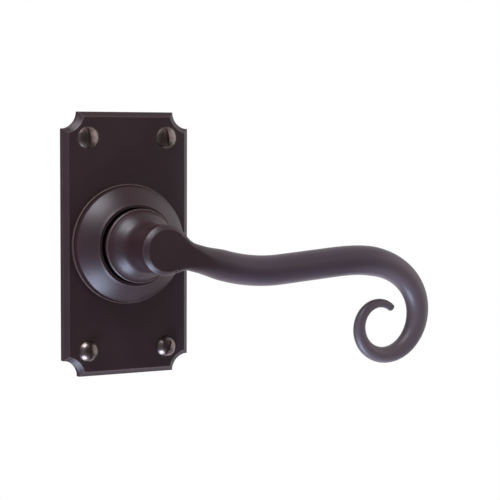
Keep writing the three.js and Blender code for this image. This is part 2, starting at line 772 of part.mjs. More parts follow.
function stopCam() {
  const lugSide = Math.asin(CAM_LUG_WIDTH / 2 / CAM_RADIUS);
  const lugEnd = Math.sqrt(CAM_LUG_REACH ** 2 - (CAM_LUG_WIDTH / 2) ** 2);
  const outline = new THREE.Shape();
  outline.moveTo(lugEnd, -CAM_LUG_WIDTH / 2);
  outline.lineTo(lugEnd, CAM_LUG_WIDTH / 2);
  outline.absarc(0, 0, CAM_RADIUS, lugSide, 2 * Math.PI - lugSide);
  outline.closePath();
  const disc = pressed(outline, camFront(), camBack()).rotate([0, -CAM_LUG_ANGLE, 0]);
  const hole = pressed(
    new THREE.Shape(keyHole().getPoints(ARC_STEPS / 2)),
    camFront() - CUT_OVERRUN,
    camBack() + CUT_OVERRUN,
  );
  const notchHalf = SPRING_WIRE_RADIUS + SEAT_GAP;
  const notch = block(
    CAM_RADIUS,
    camFront() - CUT_OVERRUN,
    camBack() + CUT_OVERRUN,
    2 * notchHalf,
  )
    .translate([SPRING_COIL_RADIUS - notchHalf + CAM_RADIUS / 2, 0, 0])
    .rotate([0, -springMovingAngle(), 0]);
  return piece('stop_cam', cut(disc, [hole, notch]), finishes.steel);
}

function thrustWasher() {
  const bore = SHANK_RADIUS + SEAT_GAP;
  const body = turnedRing([
    [bore, RUNNING_GAP],
    [bore + WASHER_WIDTH, RUNNING_GAP],
    [bore + WASHER_WIDTH, washerBack()],
    [bore, washerBack()],
  ]);
  return piece('thrust_washer', body, finishes.brass);
}

// An open ring with two eared ends for the pliers, whose mouth points down
function circlip() {
  const inner = SHANK_RADIUS - GROOVE_DEPTH + SEAT_GAP;
  const outer = inner + CIRCLIP_WIDTH;
  const start = radians(CIRCLIP_MOUTH / 2 - 90);
  const end = radians(270 - CIRCLIP_MOUTH / 2);
  const outline = new THREE.Shape();
  outline.absarc(0, 0, outer, start, end);
  outline.absarc(0, 0, inner, end, start, true);
  outline.closePath();
  const front = circlipFront();
  const back = front + CIRCLIP_THICKNESS;
  let body = pressed(outline, front, back);
  for (const angle of [CIRCLIP_MOUTH / 2 - 90, 270 - CIRCLIP_MOUTH / 2]) {
    const place = onCircle(inner + CIRCLIP_EAR_RADIUS, angle, 0);
    body = body.add(moved(rod(CIRCLIP_EAR_RADIUS, front, back), place));
    const hole = rod(CIRCLIP_EAR_HOLE, front - CUT_OVERRUN, back + CUT_OVERRUN);
    body = body.subtract(moved(hole, place));
  }
  return piece('circlip', body, finishes.springSteel);
}

// ---- Return spring ----

// The wire's centreline: a leg beside the anchor pin, the coils and a leg up into the cam. Each
// leg meets the coil in a bend of a quarter turn, which passes `inside` of its corner.
function springRoute() {
  const inside = SPRING_BEND * (1 - Math.SQRT1_2);
  const degreesOf = (length) => THREE.MathUtils.radToDeg(length / SPRING_COIL_RADIUS);
  const fixed = SPRING_FIXED_ANGLE;
  const moving = springMovingAngle();
  const low = out(SPRING_WIRE_RADIUS + SEAT_GAP);
  const high = low - SPRING_PITCH * SPRING_TURNS;
  const route = [
    onCircle(SPRING_LEG_REACH, fixed, low),
    onCircle(SPRING_COIL_RADIUS + SPRING_BEND, fixed, low),
    onCircle(SPRING_COIL_RADIUS + inside, fixed + degreesOf(inside), low),
  ];
  const first = fixed + degreesOf(SPRING_BEND);
  const last = moving - degreesOf(SPRING_BEND);
  const count = Math.ceil((last - first) / SPRING_KNOT_SPACING);
  for (let i = 0; i <= count; i += 1) {
    const share = i / count;
    const angle = THREE.MathUtils.lerp(first, last, share);
    route.push(onCircle(SPRING_COIL_RADIUS, angle, THREE.MathUtils.lerp(low, high, share)));
  }
  route.push(onCircle(SPRING_COIL_RADIUS, moving - degreesOf(inside), high - inside));
  route.push(onCircle(SPRING_COIL_RADIUS, moving, high - SPRING_BEND));
  route.push(onCircle(SPRING_COIL_RADIUS, moving, camFront() + SEAT_GAP));
  return new THREE.CatmullRomCurve3(route, false, 'centripetal');
}

function returnSpring() {
  const section = new THREE.Shape().absarc(0, 0, SPRING_WIRE_RADIUS, 0, 2 * Math.PI);
  const geometry = new THREE.ExtrudeGeometry(new THREE.Shape(section.getPoints(SPRING_SIDES / 2)), {
    steps: SPRING_STEPS,
    extrudePath: springRoute(),
    bevelEnabled: false,
  });
  return piece('return_spring', solid(geometry), finishes.springSteel);
}

// ---- Spindle ----

function spindle() {
  const half = SPINDLE_WIDTH / 2;
  const outline = new THREE.Shape();
  outline.moveTo(half, half);
  outline.lineTo(-half, half);
  outline.lineTo(-half, -half);
  outline.lineTo(half, -half);
  outline.closePath();
  const front = out(SPINDLE_SOCKET_HEIGHT - SEAT_GAP);
  const geometry = new THREE.ExtrudeGeometry(outline, {
    depth: SPINDLE_REACH - front - 2 * SPINDLE_CHAMFER,
    bevelThickness: SPINDLE_CHAMFER,
    bevelSize: SPINDLE_CHAMFER,
    bevelOffset: -SPINDLE_CHAMFER,
    bevelSegments: 1,
    steps: SPINDLE_STEPS,
  });
  geometry.rotateX(Math.PI / 2).translate(0, SPINDLE_REACH - SPINDLE_CHAMFER, 0);
  return piece('spindle', solid(geometry), finishes.steel);
}

// The grub screw stands in the underside of the neck, with its hexagon socket outwards
function grubScrew() {
  const tip = SPINDLE_WIDTH / 2 + SEAT_GAP;
  const end = VALLEY_RADIUS - GRUB_SINK;
  const keyCorner = GRUB_KEY_WIDTH / 2 / Math.cos(Math.PI / HEXAGON);
  const socket = rod(keyCorner, end - GRUB_KEY_DEPTH, end + CUT_OVERRUN, HEXAGON);
  const body = cut(rod(GRUB_RADIUS, tip, end), [socket]);
  const mesh = piece('grub_screw', body, finishes.steel);
  mesh.rotation.x = -Math.PI / 2;
  mesh.position.y = out(GRUB_HEIGHT);
  return mesh;
}

// ---- Assembly ----

const plateBody = new THREE.Group();
plateBody.add(backplate(), roseRing(), bush());
for (const [place, degrees] of Object.entries(SLOT_ANGLES)) {
  plateBody.add(woodScrew(place, degrees));
}
for (const [name, pin] of Object.entries(pinPlaces())) {
  plateBody.add(platePin(name, pin));
}
ROSE_SCREW_ANGLES.forEach((angle, i) => plateBody.add(roseScrew(i + 1, angle)));
plateBody.add(returnSpring());

const leverBody = new THREE.Group();
leverBody.add(lever(), stopCam(), thrustWasher(), circlip(), spindle(), grubScrew());

const group = new THREE.Group();
group.add(plateBody, leverBody);

export default group;
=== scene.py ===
"""A sprung door lever handle on a bevelled backplate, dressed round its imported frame.

Everything is in metres, in the frame's own axes: +X towards the scroll of the lever, -Y out of the
door and +Z up. Heights are measured from the plate's front face, towards the hand.
"""

import math

import bmesh
import bpy
from bpy.props import FloatProperty, FloatVectorProperty, IntProperty, PointerProperty
from bpy.types import Operator, Panel, PropertyGroup
from mathutils import Matrix, Vector
from mathutils.geometry import interpolate_bezier


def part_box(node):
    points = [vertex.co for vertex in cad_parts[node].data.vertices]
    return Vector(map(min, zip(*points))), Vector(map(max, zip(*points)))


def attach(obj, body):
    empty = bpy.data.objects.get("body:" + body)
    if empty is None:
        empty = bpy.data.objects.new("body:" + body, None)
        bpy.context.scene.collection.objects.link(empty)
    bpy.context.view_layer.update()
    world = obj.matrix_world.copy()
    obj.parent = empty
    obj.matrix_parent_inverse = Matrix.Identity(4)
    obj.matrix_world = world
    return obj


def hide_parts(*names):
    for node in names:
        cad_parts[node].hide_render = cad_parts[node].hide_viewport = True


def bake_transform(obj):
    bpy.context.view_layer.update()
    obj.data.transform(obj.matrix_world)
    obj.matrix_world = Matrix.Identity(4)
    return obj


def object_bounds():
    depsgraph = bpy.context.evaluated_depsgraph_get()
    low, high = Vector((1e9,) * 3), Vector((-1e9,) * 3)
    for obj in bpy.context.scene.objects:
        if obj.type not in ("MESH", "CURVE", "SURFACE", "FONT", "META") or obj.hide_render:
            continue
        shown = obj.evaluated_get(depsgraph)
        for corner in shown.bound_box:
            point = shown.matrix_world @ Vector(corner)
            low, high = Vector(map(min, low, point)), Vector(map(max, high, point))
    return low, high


bl_info = {
    "name": "Door lever handle",
    "version": (1, 0, 0),
    "blender": (4, 5, 0),
    "location": "3D View > Sidebar > Door handle",
    "description": "Builds a scrolled door lever, its sprung rose and its bevelled backplate",
    "category": "Mesh",
}

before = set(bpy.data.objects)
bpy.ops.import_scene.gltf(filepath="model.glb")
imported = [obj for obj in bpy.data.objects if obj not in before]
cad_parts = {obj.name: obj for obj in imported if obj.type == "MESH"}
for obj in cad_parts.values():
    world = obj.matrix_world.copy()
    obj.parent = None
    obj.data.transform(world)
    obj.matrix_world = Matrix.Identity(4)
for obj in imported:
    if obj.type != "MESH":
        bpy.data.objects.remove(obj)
CAD_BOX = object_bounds()

MM = 0.001
ORIGIN = (0, 0, 0)
Y_AXIS = (0, 1, 0)
SCROLL_EYE = (98 * MM, -36 * MM, -35 * MM)  # middle of the open eye inside the scroll
OVERRUN = 1 * MM  # how far a cutter runs past the face that it opens
SLIVER = 0.002 * MM  # faces and edges thinner than this, left by the cuts, are removed
WELD = 0.0005 * MM  # vertices nearer than this are one
SEAM = 0.01 * MM  # the same, where the plate's mirrored quarters meet
SHARP = math.radians(35)  # edges that turn more than this are softened
CRISP = 0.1 * MM  # rounding of a corner that has kept its edge
SOFT = 0.2 * MM  # rounding of a corner that has been eased

# Straight steps that stand for a curve
TURN_STEPS = 128
BUSH_HOLE_STEPS = 96
SCREW_STEPS = 72
CIRCLIP_STEPS = 72
ROD_STEPS = 48
BELL_STEPS = 48
EAR_STEPS = 32
EAR_HOLE_STEPS = 24
CURVE_STEPS = 24
SWEEP_STEPS = 12
ROUND_STEPS = 6  # round a corner of a turned profile
EDGE_STEPS = 3  # round a softened edge
WIRE_STEPS = 16
FLOOR_STEPS = 96
SECTION_STEPS = 10  # in each quarter of the arm's section
ROOT_STEPS = 12
THREAD_STEPS = 24  # in each turn of a thread
COIL_STEPS = 96
BEND_STEPS = 8
STATION_STEP = 0.9 * MM  # along the arm, from one section to the next

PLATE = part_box("backplate")
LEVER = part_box("lever")
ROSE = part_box("rose_ring")
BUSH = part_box("bush")
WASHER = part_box("thrust_washer")
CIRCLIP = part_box("circlip")
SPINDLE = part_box("spindle")
PLATE_FRONT = PLATE[0].y
WOOD_SCREWS = ["screw_top_left", "screw_top_right", "screw_bottom_left", "screw_bottom_right"]
ROSE_SCREWS = ["rose_screw_1", "rose_screw_2", "rose_screw_3"]
PINS = ["stop_pin_rest", "stop_pin_travel", "spring_anchor_pin"]


def srgb(code):
    """A hex colour, as the linear red, green and blue that shaders take."""
    values = [int(code[i : i + 2], 16) / 255 for i in (1, 3, 5)]
    return tuple(v / 12.92 if v <= 0.04045 else ((v + 0.055) / 1.055) ** 2.4 for v in values)


def length(name, millimetres, description):
    return FloatProperty(
        name=name, description=description, default=millimetres * MM, min=0, precision=5, unit="LENGTH"
    )


def turn_of(name, degrees, description):
    return FloatProperty(name=name, description=description, default=math.radians(degrees), unit="ROTATION")


def colour(name, code, description):
    return FloatVectorProperty(
        name=name, description=description, default=srgb(code), subtype="COLOR", min=0, max=1
    )


def share(name, value, description):
    return FloatProperty(name=name, description=description, default=value, min=0, max=1, subtype="FACTOR")


# ---- Sizes and colours ----


class PlateSizes(PropertyGroup):
    notch_radius: length("Notch radius", 6.45, "Radius of the scooped corners")
    bevel_width: length("Bevel width", 1.45, "Width of the broad outer part of the bevel")
    bevel_depth: length("Bevel depth", 1.1, "How far the outer part of the bevel falls back")
    step_width: length("Step width", 0.5, "Width of the steeper part next to the face")
    step_depth: length("Step depth", 0.6, "Depth of the steeper part next to the face")
    edge_radius: length("Edge radius", 0.14, "Rounding that the polishing wheel leaves")
    hole_clearance: length("Hole clearance", 0.3, "Gap round a screw, pin or bush in its hole")
    head_clearance: length("Head clearance", 0.35, "Gap round a wood screw's head")
    bush_hole: length("Bush hole", 10.0, "Radius of the hole that the bush stands in")
    notch_steps: IntProperty(
        name="Notch steps", description="Straight steps in a notch", default=24, min=4
    )


class LeverSizes(PropertyGroup):
    hub_base_height: length("Hub base height", 6.9, "Where the hub ends, inside the rose")
    rim_height: length("Rim height", 12.7, "Where the hub's wall meets the bell")
    rim_edge: length("Rim edge", 0.42, "Width of the rim's small chamfer")
    rim_stand: length("Rim stand", 0.05, "How far the rim stands out past the hub")
    rim_wall: length("Rim wall", 0.5, "Height of the rim's own wall")
    rim_overhang: length("Rim overhang", 1.2, "How far the rim stands out over the hub")
    rim_groove_width: length("Rim groove width", 0.2, "Between the rim and the bell")
    rim_groove_depth: length("Rim groove depth", 0.1, "Between the rim and the bell")
    valley_height: length("Valley height", 24.3, "Where the bell is slimmest")
    valley_radius: length("Valley radius", 8.8, "Radius of the bell at its slimmest")
    neck_radius: length("Neck radius", 9.5, "Radius of the round face")
    face_edge: length("Face edge", 1.6, "Rounding between the flat face and the neck")
    edge_flatness: share("Edge flatness", 0.43, "0 is a full round, 0.5 a plain bevel")
    face_ease: share("Face ease", 0.5, "How long the neck runs straight below the face")
    hollow_ease: share("Hollow ease", 0.22, "How gently the neck runs out to its slimmest")
    shoulder_ease: share("Shoulder ease", 0.68, "How long the bell runs straight from there")
    rim_ease: share("Rim ease", 0.56, "How steeply the bell comes down to its rim")
    rim_lean: turn_of("Rim lean", 16, "How far the bell leans in from its rim")
    key_radius: length("Key radius", 10, "Radius of the step that drives the cam")
    key_half_width: length("Key half width", 8.6, "From the axis to the key's flats")
    key_end_height: length("Key end height", 5.0, "Where the key steps in to the shank")
    shank_radius: length("Shank radius", 8, "Radius of the shank in its bush")
    groove_depth: length("Groove depth", 0.85, "Depth of the circlip's groove")
    root_slope: turn_of("Root slope", 15.1, "How far the arm points down where it starts")
    root_length: length("Root length", 27.3, "Straight start of the arm, from the axis")
    dip_radius: length("Dip radius", 70, "Radius of the arm's sag")
    dip_sweep: turn_of("Dip sweep", 19.8, "How far the sag turns the arm up")
    rise_length: length("Rise length", 20.9, "Straight rise after the sag")
    crest_length: length("Crest length", 49.8, "Where the arm tightens over its crest")
    turn_radius: length("Turn radius", 17.7, "Radius of the outer turn")
    turn_length: length("Turn length", 14.4, "Length of the outer turn")
    scroll_length: length("Scroll length", 54.8, "Length of the scroll that winds in")
    scroll_end_radius: length("Scroll end radius", 8.25, "Radius of the scroll at its tip")
    grip_radius: length("Grip radius", 5.9, "Radius of the round arm")
    waist_radius: length("Waist radius", 5.15, "Half width where the arm leaves the face")
    waist_end: length("Waist end", 16, "Where the waist starts to swell")
    swell_length: length("Swell length", 10.5, "How long the waist takes to swell")
    side_fillet: length("Side fillet", 9.2, "Fillet between the face's round and the arm")
    back_fillet: length("Back fillet", 4, "Fillet between the neck and the arm's back")
    tip_radius: length("Tip radius", 1.5, "Radius of the arm at the scroll's tip")
    tip_edge: length("Tip edge", 0.55, "Rounding of the scroll's blunt end")
    socket_width: length("Socket width", 8.2, "Width of the square hole for the spindle")
    socket_height: length("Socket height", 31, "Where the square hole ends")
    grub_hole_radius: length("Grub screw hole", 2.5, "Radius of the hole under the neck")
    grub_height: length("Grub screw height", 28, "Height of the grub screw's axis")
    taper_start: length("Taper start", 93.5, "Distance along the arm where it starts to slim")


class RoseSizes(PropertyGroup):
    flange_height: length("Flange height", 0.8, "Height of the foot's small flange")
    flange_width: length("Flange width", 0.5, "How far the flange stands out from the wall")
    groove_width: length("Groove width", 0.25, "Width of the turned groove inside the flange")
    groove_depth: length("Groove depth", 0.35, "Depth of the turned groove")
    boss_radius: length("Boss radius", 2.5, "Radius of the bosses that the screws bite into")
    boss_height: length("Boss height", 4.8, "Height of the bosses")
    edge_radius: length("Edge radius", 22.4, "Radius where the wall meets the cone")
    wall_height: length("Wall height", 3.3, "Height of the rose's wall")
    lip_radius: length("Lip radius", 16, "Radius where the cone meets the lip's small bevel")
    lip_step: length("Lip step", 0.35, "Height of the lip's small bevel")
    lip_bevel: length("Lip bevel", 0.3, "Width of the lip's small bevel")
    bore_radius: length("Bore radius", 14.5, "Radius of the hole that the hub turns in")
    cone_swell: length("Cone swell", 0.35, "How full the cone is at its middle")
    soft_edge: length("Soft edge", 0.3, "Rounding of the turned edges")
    cavity_radius: length("Cavity radius", 20, "Radius of the room for the spring")
    cavity_wall: length("Cavity wall", 2.8, "Height of the cavity's straight wall")
    roof_radius: length("Roof radius", 15.9, "Radius of the cavity's roof")
    roof_height: length("Roof height", 6.9, "Height of the cavity's roof")


class FixingSizes(PropertyGroup):
    dome: length("Dome", 1.5, "How far the upper screws' heads stand proud")
    proud_dome: length("Proud dome", 2.8, "How far the lower screws' heads stand proud")
    sink: length("Countersink", 2.2, "Depth of a wood screw's countersink")
    shank_radius: length("Shank radius", 2, "Radius of a wood screw's shank")
    slot_width: length("Slot width", 1.0, "Width of the screwdriver slot")
    slot_depth: length("Slot depth", 1.0, "Depth of the screwdriver slot")
    thread_pitch: length("Thread pitch", 1.8, "From one turn of the wood thread to the next")
    thread_depth: length("Thread depth", 0.45, "Depth of the wood thread")
    plain_shank: length("Plain shank", 7, "From the head's edge to where the thread starts")
    point: length("Point", 5, "Length of the gimlet point")
    tip_radius: length("Point radius", 0.2, "Radius of the gimlet point's end")
    fine_pitch: length("Fine pitch", 0.6, "Pitch of the machine screws' threads")
    fine_depth: length("Fine thread depth", 0.2, "Depth of the machine screws' threads")
    rose_slot_width: length("Rose screw slot", 0.7, "Width of a machine screw's slot")
    rose_slot_depth: length("Rose screw slot depth", 0.75, "Depth of a machine screw's slot")
    key_width: length("Key width", 2.5, "Across the flats of the grub screw's hexagon")
    key_depth: length("Key depth", 2, "Depth of the grub screw's hexagon")
    rose_sink: length("Rose screw sink", 1.5, "Depth of a machine screw's countersink")
    rose_shank_radius: length("Rose screw shank", 1.45, "Radius of a machine screw's shank")
    top_left: turn_of("Top left slot", 94, "Direction of the slot, from +X towards +Z")
    top_right: turn_of("Top right slot", 97, "Direction of the slot, from +X towards +Z")
    bottom_left: turn_of("Bottom left slot", 91, "Direction of the slot, from +X towards +Z")
    bottom_right: turn_of("Bottom right slot", 68, "Direction of the slot, from +X towards +Z")


class HiddenSizes(PropertyGroup):
    bush_bore: length("Bush bore", 8.3, "Radius of the hole that the shank turns in")
    bush_wall: length("Bush wall", 1.4, "Wall of the bush where it goes through the plate")
    circlip_inner: length("Circlip bore", 7.45, "Inner radius of the circlip")
    circlip_width: length("Circlip width", 2.2, "Width of the circlip's ring")
    circlip_mouth: turn_of("Circlip mouth", 50, "Opening between the circlip's ears")
    ear_radius: length("Ear radius", 1.7, "Radius of the circlip's ears")
    ear_hole: length("Ear hole", 0.7, "Radius of the holes for the pliers")
    bar_edge: length("Bar edge", 0.25, "Rounding of the spindle's long edges")
    bar_chamfer: length("Bar chamfer", 0.6, "Chamfer round the spindle's ends")
    soft_edge: length("Soft edge", 0.15, "Rounding of the small turned pieces")


class SpringSizes(PropertyGroup):
    wire_radius: length("Wire radius", 0.8, "Radius of the spring wire")
    coil_radius: length("Coil radius", 12.2, "From the axis to the middle of the wire")
    pitch: length("Pitch", 1.8, "From one turn to the next")
    turns: FloatProperty(name="Turns", description="Turns of the coil", default=1.7, min=0.5)
    leg_reach: length("Leg reach", 18.2, "From the axis to the end of the fixed leg")
    foot: length("Foot", 1.1, "Height of the first turn's middle above the plate")
    fixed_angle: turn_of("Fixed angle", 30, "Where the fixed leg stands")
    bend: length("Bend", 1.3, "Radius of the bends between the coil and its legs")
    rise: length("Rise", 6.3, "Height of the moving leg's end, in the cam")


class FinishColours(PropertyGroup):
    bronze: colour("Bronze", "#2a171c", "Dark bronze lacquer on the castings")
    bronze_cloud: colour("Bronze cloud", "#351e22", "Where the darkening took less well")
    # Paler bronze for worn edges and dust specks, and a painted highlight along the edges
    bronze_pale_wear_and_highlight: colour("Worn bronze", "#75605b", "Where polishing has thinned it on the edges")
    # Painted glare: a lighter tone along the arm
    bronze_arm_glare: colour("Handled bronze", "#43343e", "Where the hand has thinned the lacquer")
    # Painted glare, strongest round the scroll
    bronze_scroll_glare: colour("Scroll bronze", "#5f5257", "Where the hand has thinned it most")
    # Painted shade: a brown laid into the creases, where little light reaches
    bronze_crease_shade: colour("Old wax", "#33241c", "Wax and dust left in the creases")
    screw: colour("Screw bronze", "#72625e", "Burnished bronze of the screw heads")
    # Brown wax in the slots, lightened as painted light for what the slot's walls reflect
    screw_wax_and_slot_light: colour("Screw wax", "#6e4c3c", "Brown wax left in the slots")
    brass: colour("Brass", "#d9b36a", "Turned brass of the bush and washer")
    steel: colour("Steel", "#b4b8bc", "Zinc plated steel")
    black_steel: colour("Black steel", "#17181a", "Phosphated steel of the cam and the pins")
    spring_steel: colour("Spring steel", "#5b5e64", "Oiled spring steel")
    floor: colour("Floor", "#e0e0e0", "The studio floor")


class HandleSettings(PropertyGroup):
    plate: PointerProperty(type=PlateSizes)
    lever: PointerProperty(type=LeverSizes)
    rose: PointerProperty(type=RoseSizes)
    fixings: PointerProperty(type=FixingSizes)
    hidden: PointerProperty(type=HiddenSizes)
    spring: PointerProperty(type=SpringSizes)
    colours: PointerProperty(type=FinishColours)


def settings():
    return bpy.context.scene.door_handle


# ---- Places ----


def out(height):
    """The y of a height above the plate's front face."""
    return PLATE_FRONT - height


def middle(box):
    return (box[0] + box[1]) / 2


def foot_of(name):
    """Where a small piece's axis meets the back of the plate."""
    place = middle(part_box(name))
    return Vector((place.x, 0, place.z))


def radius_of(name):
    low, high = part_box(name)
    return (high.x - low.x) / 2


def on_circle(radius, angle, y):
    """A place round the spindle's axis, at an angle from +X towards +Z."""
    return Vector((radius * math.cos(angle), y, radius * math.sin(angle)))


def about_y(angle):
    """A turn by an angle from +X towards +Z."""
    return Matrix.Rotation(-angle, 3, "Y")


# ---- Meshes ----


def object_of(bm, name):
    mesh = bpy.data.meshes.new(name)
    bm.to_mesh(mesh)
    bm.free()
    made = bpy.data.objects.new(name, mesh)
    bpy.context.scene.collection.objects.link(made)
    return made


def remade(piece, change):
    """Lets a function of its bmesh change a piece's own mesh."""
    bm = bmesh.new()
    bm.from_mesh(piece.data)
    change(bm)
    bm.to_mesh(piece.data)
    bm.free()


def closed(bm):
    """Welds what touches and points the faces outwards."""
    bmesh.ops.remove_doubles(bm, verts=bm.verts, dist=WELD)
    bmesh.ops.recalc_face_normals(bm, faces=bm.faces)
    return bm


def bevelled(bm, geom, offset, segments, kind):
    """Chamfers or rounds some edges, or some corners of a wire."""
    bmesh.ops.bevel(
        bm,
        geom=geom,
        offset=offset,
        offset_type="OFFSET",
        segments=segments,
        profile=0.5,
        affect=kind,
        clamp_overlap=kind == "EDGES",
        material=-1,
    )


def profile(points, ring=False):
    """A wire of (radius, y, rounding) corners in the XY plane, its corners rounded by a bevel."""
    bm = bmesh.new()
    verts = [bm.verts.new((radius, y, 0)) for radius, y, _ in points]
    following = verts[1:] + verts[:1] if ring else verts[1:]
    for pair in zip(verts, following):
        bm.edges.new(pair)
    for vert, (_, _, rounding) in zip(verts, points):
        if rounding > 0:
            bevelled(bm, [vert], rounding, ROUND_STEPS, "VERTICES")
    return bm


def turned(points, ring=False, steps=TURN_STEPS):
    """A profile spun about the Y axis."""
    bm = profile(points, ring)
    geom = bm.verts[:] + bm.edges[:]
    bmesh.ops.spin(bm, geom=geom, cent=ORIGIN, axis=Y_AXIS, angle=math.tau, steps=steps, use_merge=True)
    return closed(bm)


def wound(bm, geom, centre, axis, angle, steps, rise=0.0):
    """Turns a section about an axis, with a rise along y at each step, and returns the last one."""
    way = (0, rise, 0)
    made = bmesh.ops.spin(
        bm, geom=geom, cent=centre, axis=axis, dvec=way, angle=angle, steps=steps, use_merge=False
    )
    return made["geom_last"]


def capped(bm):
    """Closes the open ends of a tube."""
    bmesh.ops.holes_fill(bm, edges=[e for e in bm.edges if e.is_boundary], sides=0)
    return bm


def bezier(corners, steps=CURVE_STEPS):
    """Points of a curve given as start, two handles and end in (radius, y), without the start."""
    points = interpolate_bezier(*(Vector((r, y, 0)) for r, y in corners), steps + 1)
    return [(p.x, p.y, 0) for p in points[1:]]


def sweep(start, control, end):
    """Points of a curve that leaves and arrives towards one control point: its two handles stand
    two thirds of the way to it."""
    handles = [tuple(e + (c - e) * 2 / 3 for e, c in zip(one, control)) for one in (start, end)]
    return bezier([start, *handles, end], SWEEP_STEPS)


def box_of(low, high):
    low, high = Vector(low), Vector(high)
    bm = bmesh.new()
    bmesh.ops.create_cube(bm, size=1)
    bmesh.ops.scale(bm, vec=high - low, verts=bm.verts)
    bmesh.ops.translate(bm, vec=(low + high) / 2, verts=bm.verts)
    return bm


def rod(radius, y_front, y_back, steps=ROD_STEPS):
    corners = [(0, y_front, 0), (radius, y_front, 0), (radius, y_back, 0), (0, y_back, 0)]
    return turned(corners, steps=steps)


def square_ring(inner, outer, front, back, rounding):
    """The corners of a flat ring's section."""
    return [(r, y, rounding) for r, y in ((inner, front), (outer, front), (outer, back), (inner, back))]


def placed(bm, place=ORIGIN, turn=None):
    if turn is not None:
        bmesh.ops.rotate(bm, cent=ORIGIN, matrix=turn, verts=bm.verts)
    bmesh.ops.translate(bm, vec=place, verts=bm.verts)
    return bm


def combined(bodies):
    """Several bmeshes as one."""
    whole = bmesh.new()
    for body in bodies:
        mesh = bpy.data.meshes.new("part")
        body.to_mesh(mesh)
        body.free()
        whole.from_mesh(mesh)
        bpy.data.meshes.remove(mesh)
    return whole


def boolean(target, tool, operation):
    """Joins or cuts the target object by a bmesh, and removes the tool."""
    other = object_of(tool, "tool")
    modifier = target.modifiers.new(operation, "BOOLEAN")
    modifier.operation = operation
    modifier.solver = "EXACT"
    modifier.object = other
    modifier.use_self = True
    graph = bpy.context.evaluated_depsgraph_get()
    mesh = bpy.data.meshes.new_from_object(target.evaluated_get(graph))
    target.modifiers.clear()
    spent = [target.data, other.data]
    target.data = mesh
    bpy.data.objects.remove(other)
    for old in spent:
        bpy.data.meshes.remove(old)
    if not mesh.polygons:
        raise RuntimeError(f"{target.name} came out of its {operation.lower()} empty")


def run_of(edge):
    """How far an edge runs along y."""
    return abs(edge.verts[0].co.y - edge.verts[1].co.y)


def softened(bm, radius):
    """Rounds the sharp edges that run round the plate, and leaves its mitres crisp."""
    sharp = [e for e in bm.edges if e.calc_face_angle() > SHARP and run_of(e) < WELD]
    bevelled(bm, sharp, radius, EDGE_STEPS, "EDGES")
    bmesh.ops.dissolve_degenerate(bm, edges=bm.edges, dist=WELD)
    return bm


def without_slivers(bm):
    """Merges away the thinnest faces and edges that a boolean leaves along its cuts."""
    bmesh.ops.remove_doubles(bm, verts=bm.verts, dist=SLIVER)
    bmesh.ops.dissolve_degenerate(bm, dist=SLIVER, edges=bm.edges)


def finished(piece, body, finish, nodes, sharp_degrees=35):
    """Shades a piece, gives it its finish and sets it to ride on its body in place of its nodes."""
    piece.data.shade_smooth()
    piece.data.set_sharp_from_angle(angle=math.radians(sharp_degrees))
    weighted = piece.modifiers.new("Even shading", "WEIGHTED_NORMAL")
    weighted.keep_sharp = True
    piece.data.materials.clear()
    piece.data.materials.append(material_of(finish))
    if body:
        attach(piece, body)
    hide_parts(*nodes)


# ---- Materials ----


def feed(tree, inputs, values):
    """Gives a node's inputs their values; a socket is linked instead."""
    for name, value in values.items():
        if isinstance(value, bpy.types.NodeSocket):
            tree.links.new(value, inputs[name])
        else:
            inputs[name].default_value = value


def add_node(tree, kind, inputs, output=None, **options):
    """One node with its settings and links, given back as its named or its first live output."""
    node = tree.nodes.new("ShaderNode" + kind)
    for name, value in options.items():
        setattr(node, name, value)
    feed(tree, node.inputs, inputs)
    return node.outputs[output] if output else next(o for o in node.outputs if o.enabled)


def rgba(tint, part=1.0):
    """A colour for a node, darkened to a part of its brightness."""
    return (*(part * c for c in tint), 1)


def blank_material(name):
    """A material with its tree, its shader's inputs, and the object's own coordinates."""
    material = bpy.data.materials.new(name)
    material.use_nodes = True
    tree = material.node_tree
    return material, tree, tree.nodes["Principled BSDF"].inputs, add_node(tree, "TexCoord", {}, "Object")


# The edge share pales the bronze where it is worn and also lays a painted highlight along its edges
WEAR_AND_HIGHLIGHT_LIMITS = (0.98, 0.76)  # how open an edge is where its wear starts, and where it is full
SHADE_SAMPLES = 8  # rays that feel for edges and creases


def edges_and_creases(tree, edge_width, crease_width, crease_limits):
    """Two shares from ambient occlusion: 1 on an outer edge, and 1 in a crease, where little light reaches,
    each fading out over its width.
    """
    inside = {"inside": True, "only_local": True}
    shares = []
    for width, limits, options in ((edge_width, WEAR_AND_HIGHLIGHT_LIMITS, inside), (crease_width, crease_limits, {})):
        reach = {"Distance": width}
        near = add_node(tree, "AmbientOcclusion", reach, "AO", samples=SHADE_SAMPLES, **options)
        ramp = {"Value": near, "From Min": limits[0], "From Max": limits[1]}
        shares.append(add_node(tree, "MapRange", ramp, interpolation_type="SMOOTHSTEP"))
    return shares


# Where each change of the bronze starts, and where it is full: painted glare along the arm and round the
# scroll, then dust specks
ARM_GLARE = (15 * MM, 35 * MM)  # along the arm
SCROLL_GLARE = (33 * MM, 20 * MM)  # from the eye of the scroll
SPECK = (0.06, 0.03)  # from the middle of its cell, in cells
SPECK_CHANCE = (0.86, 0.9)  # of the cell's random value


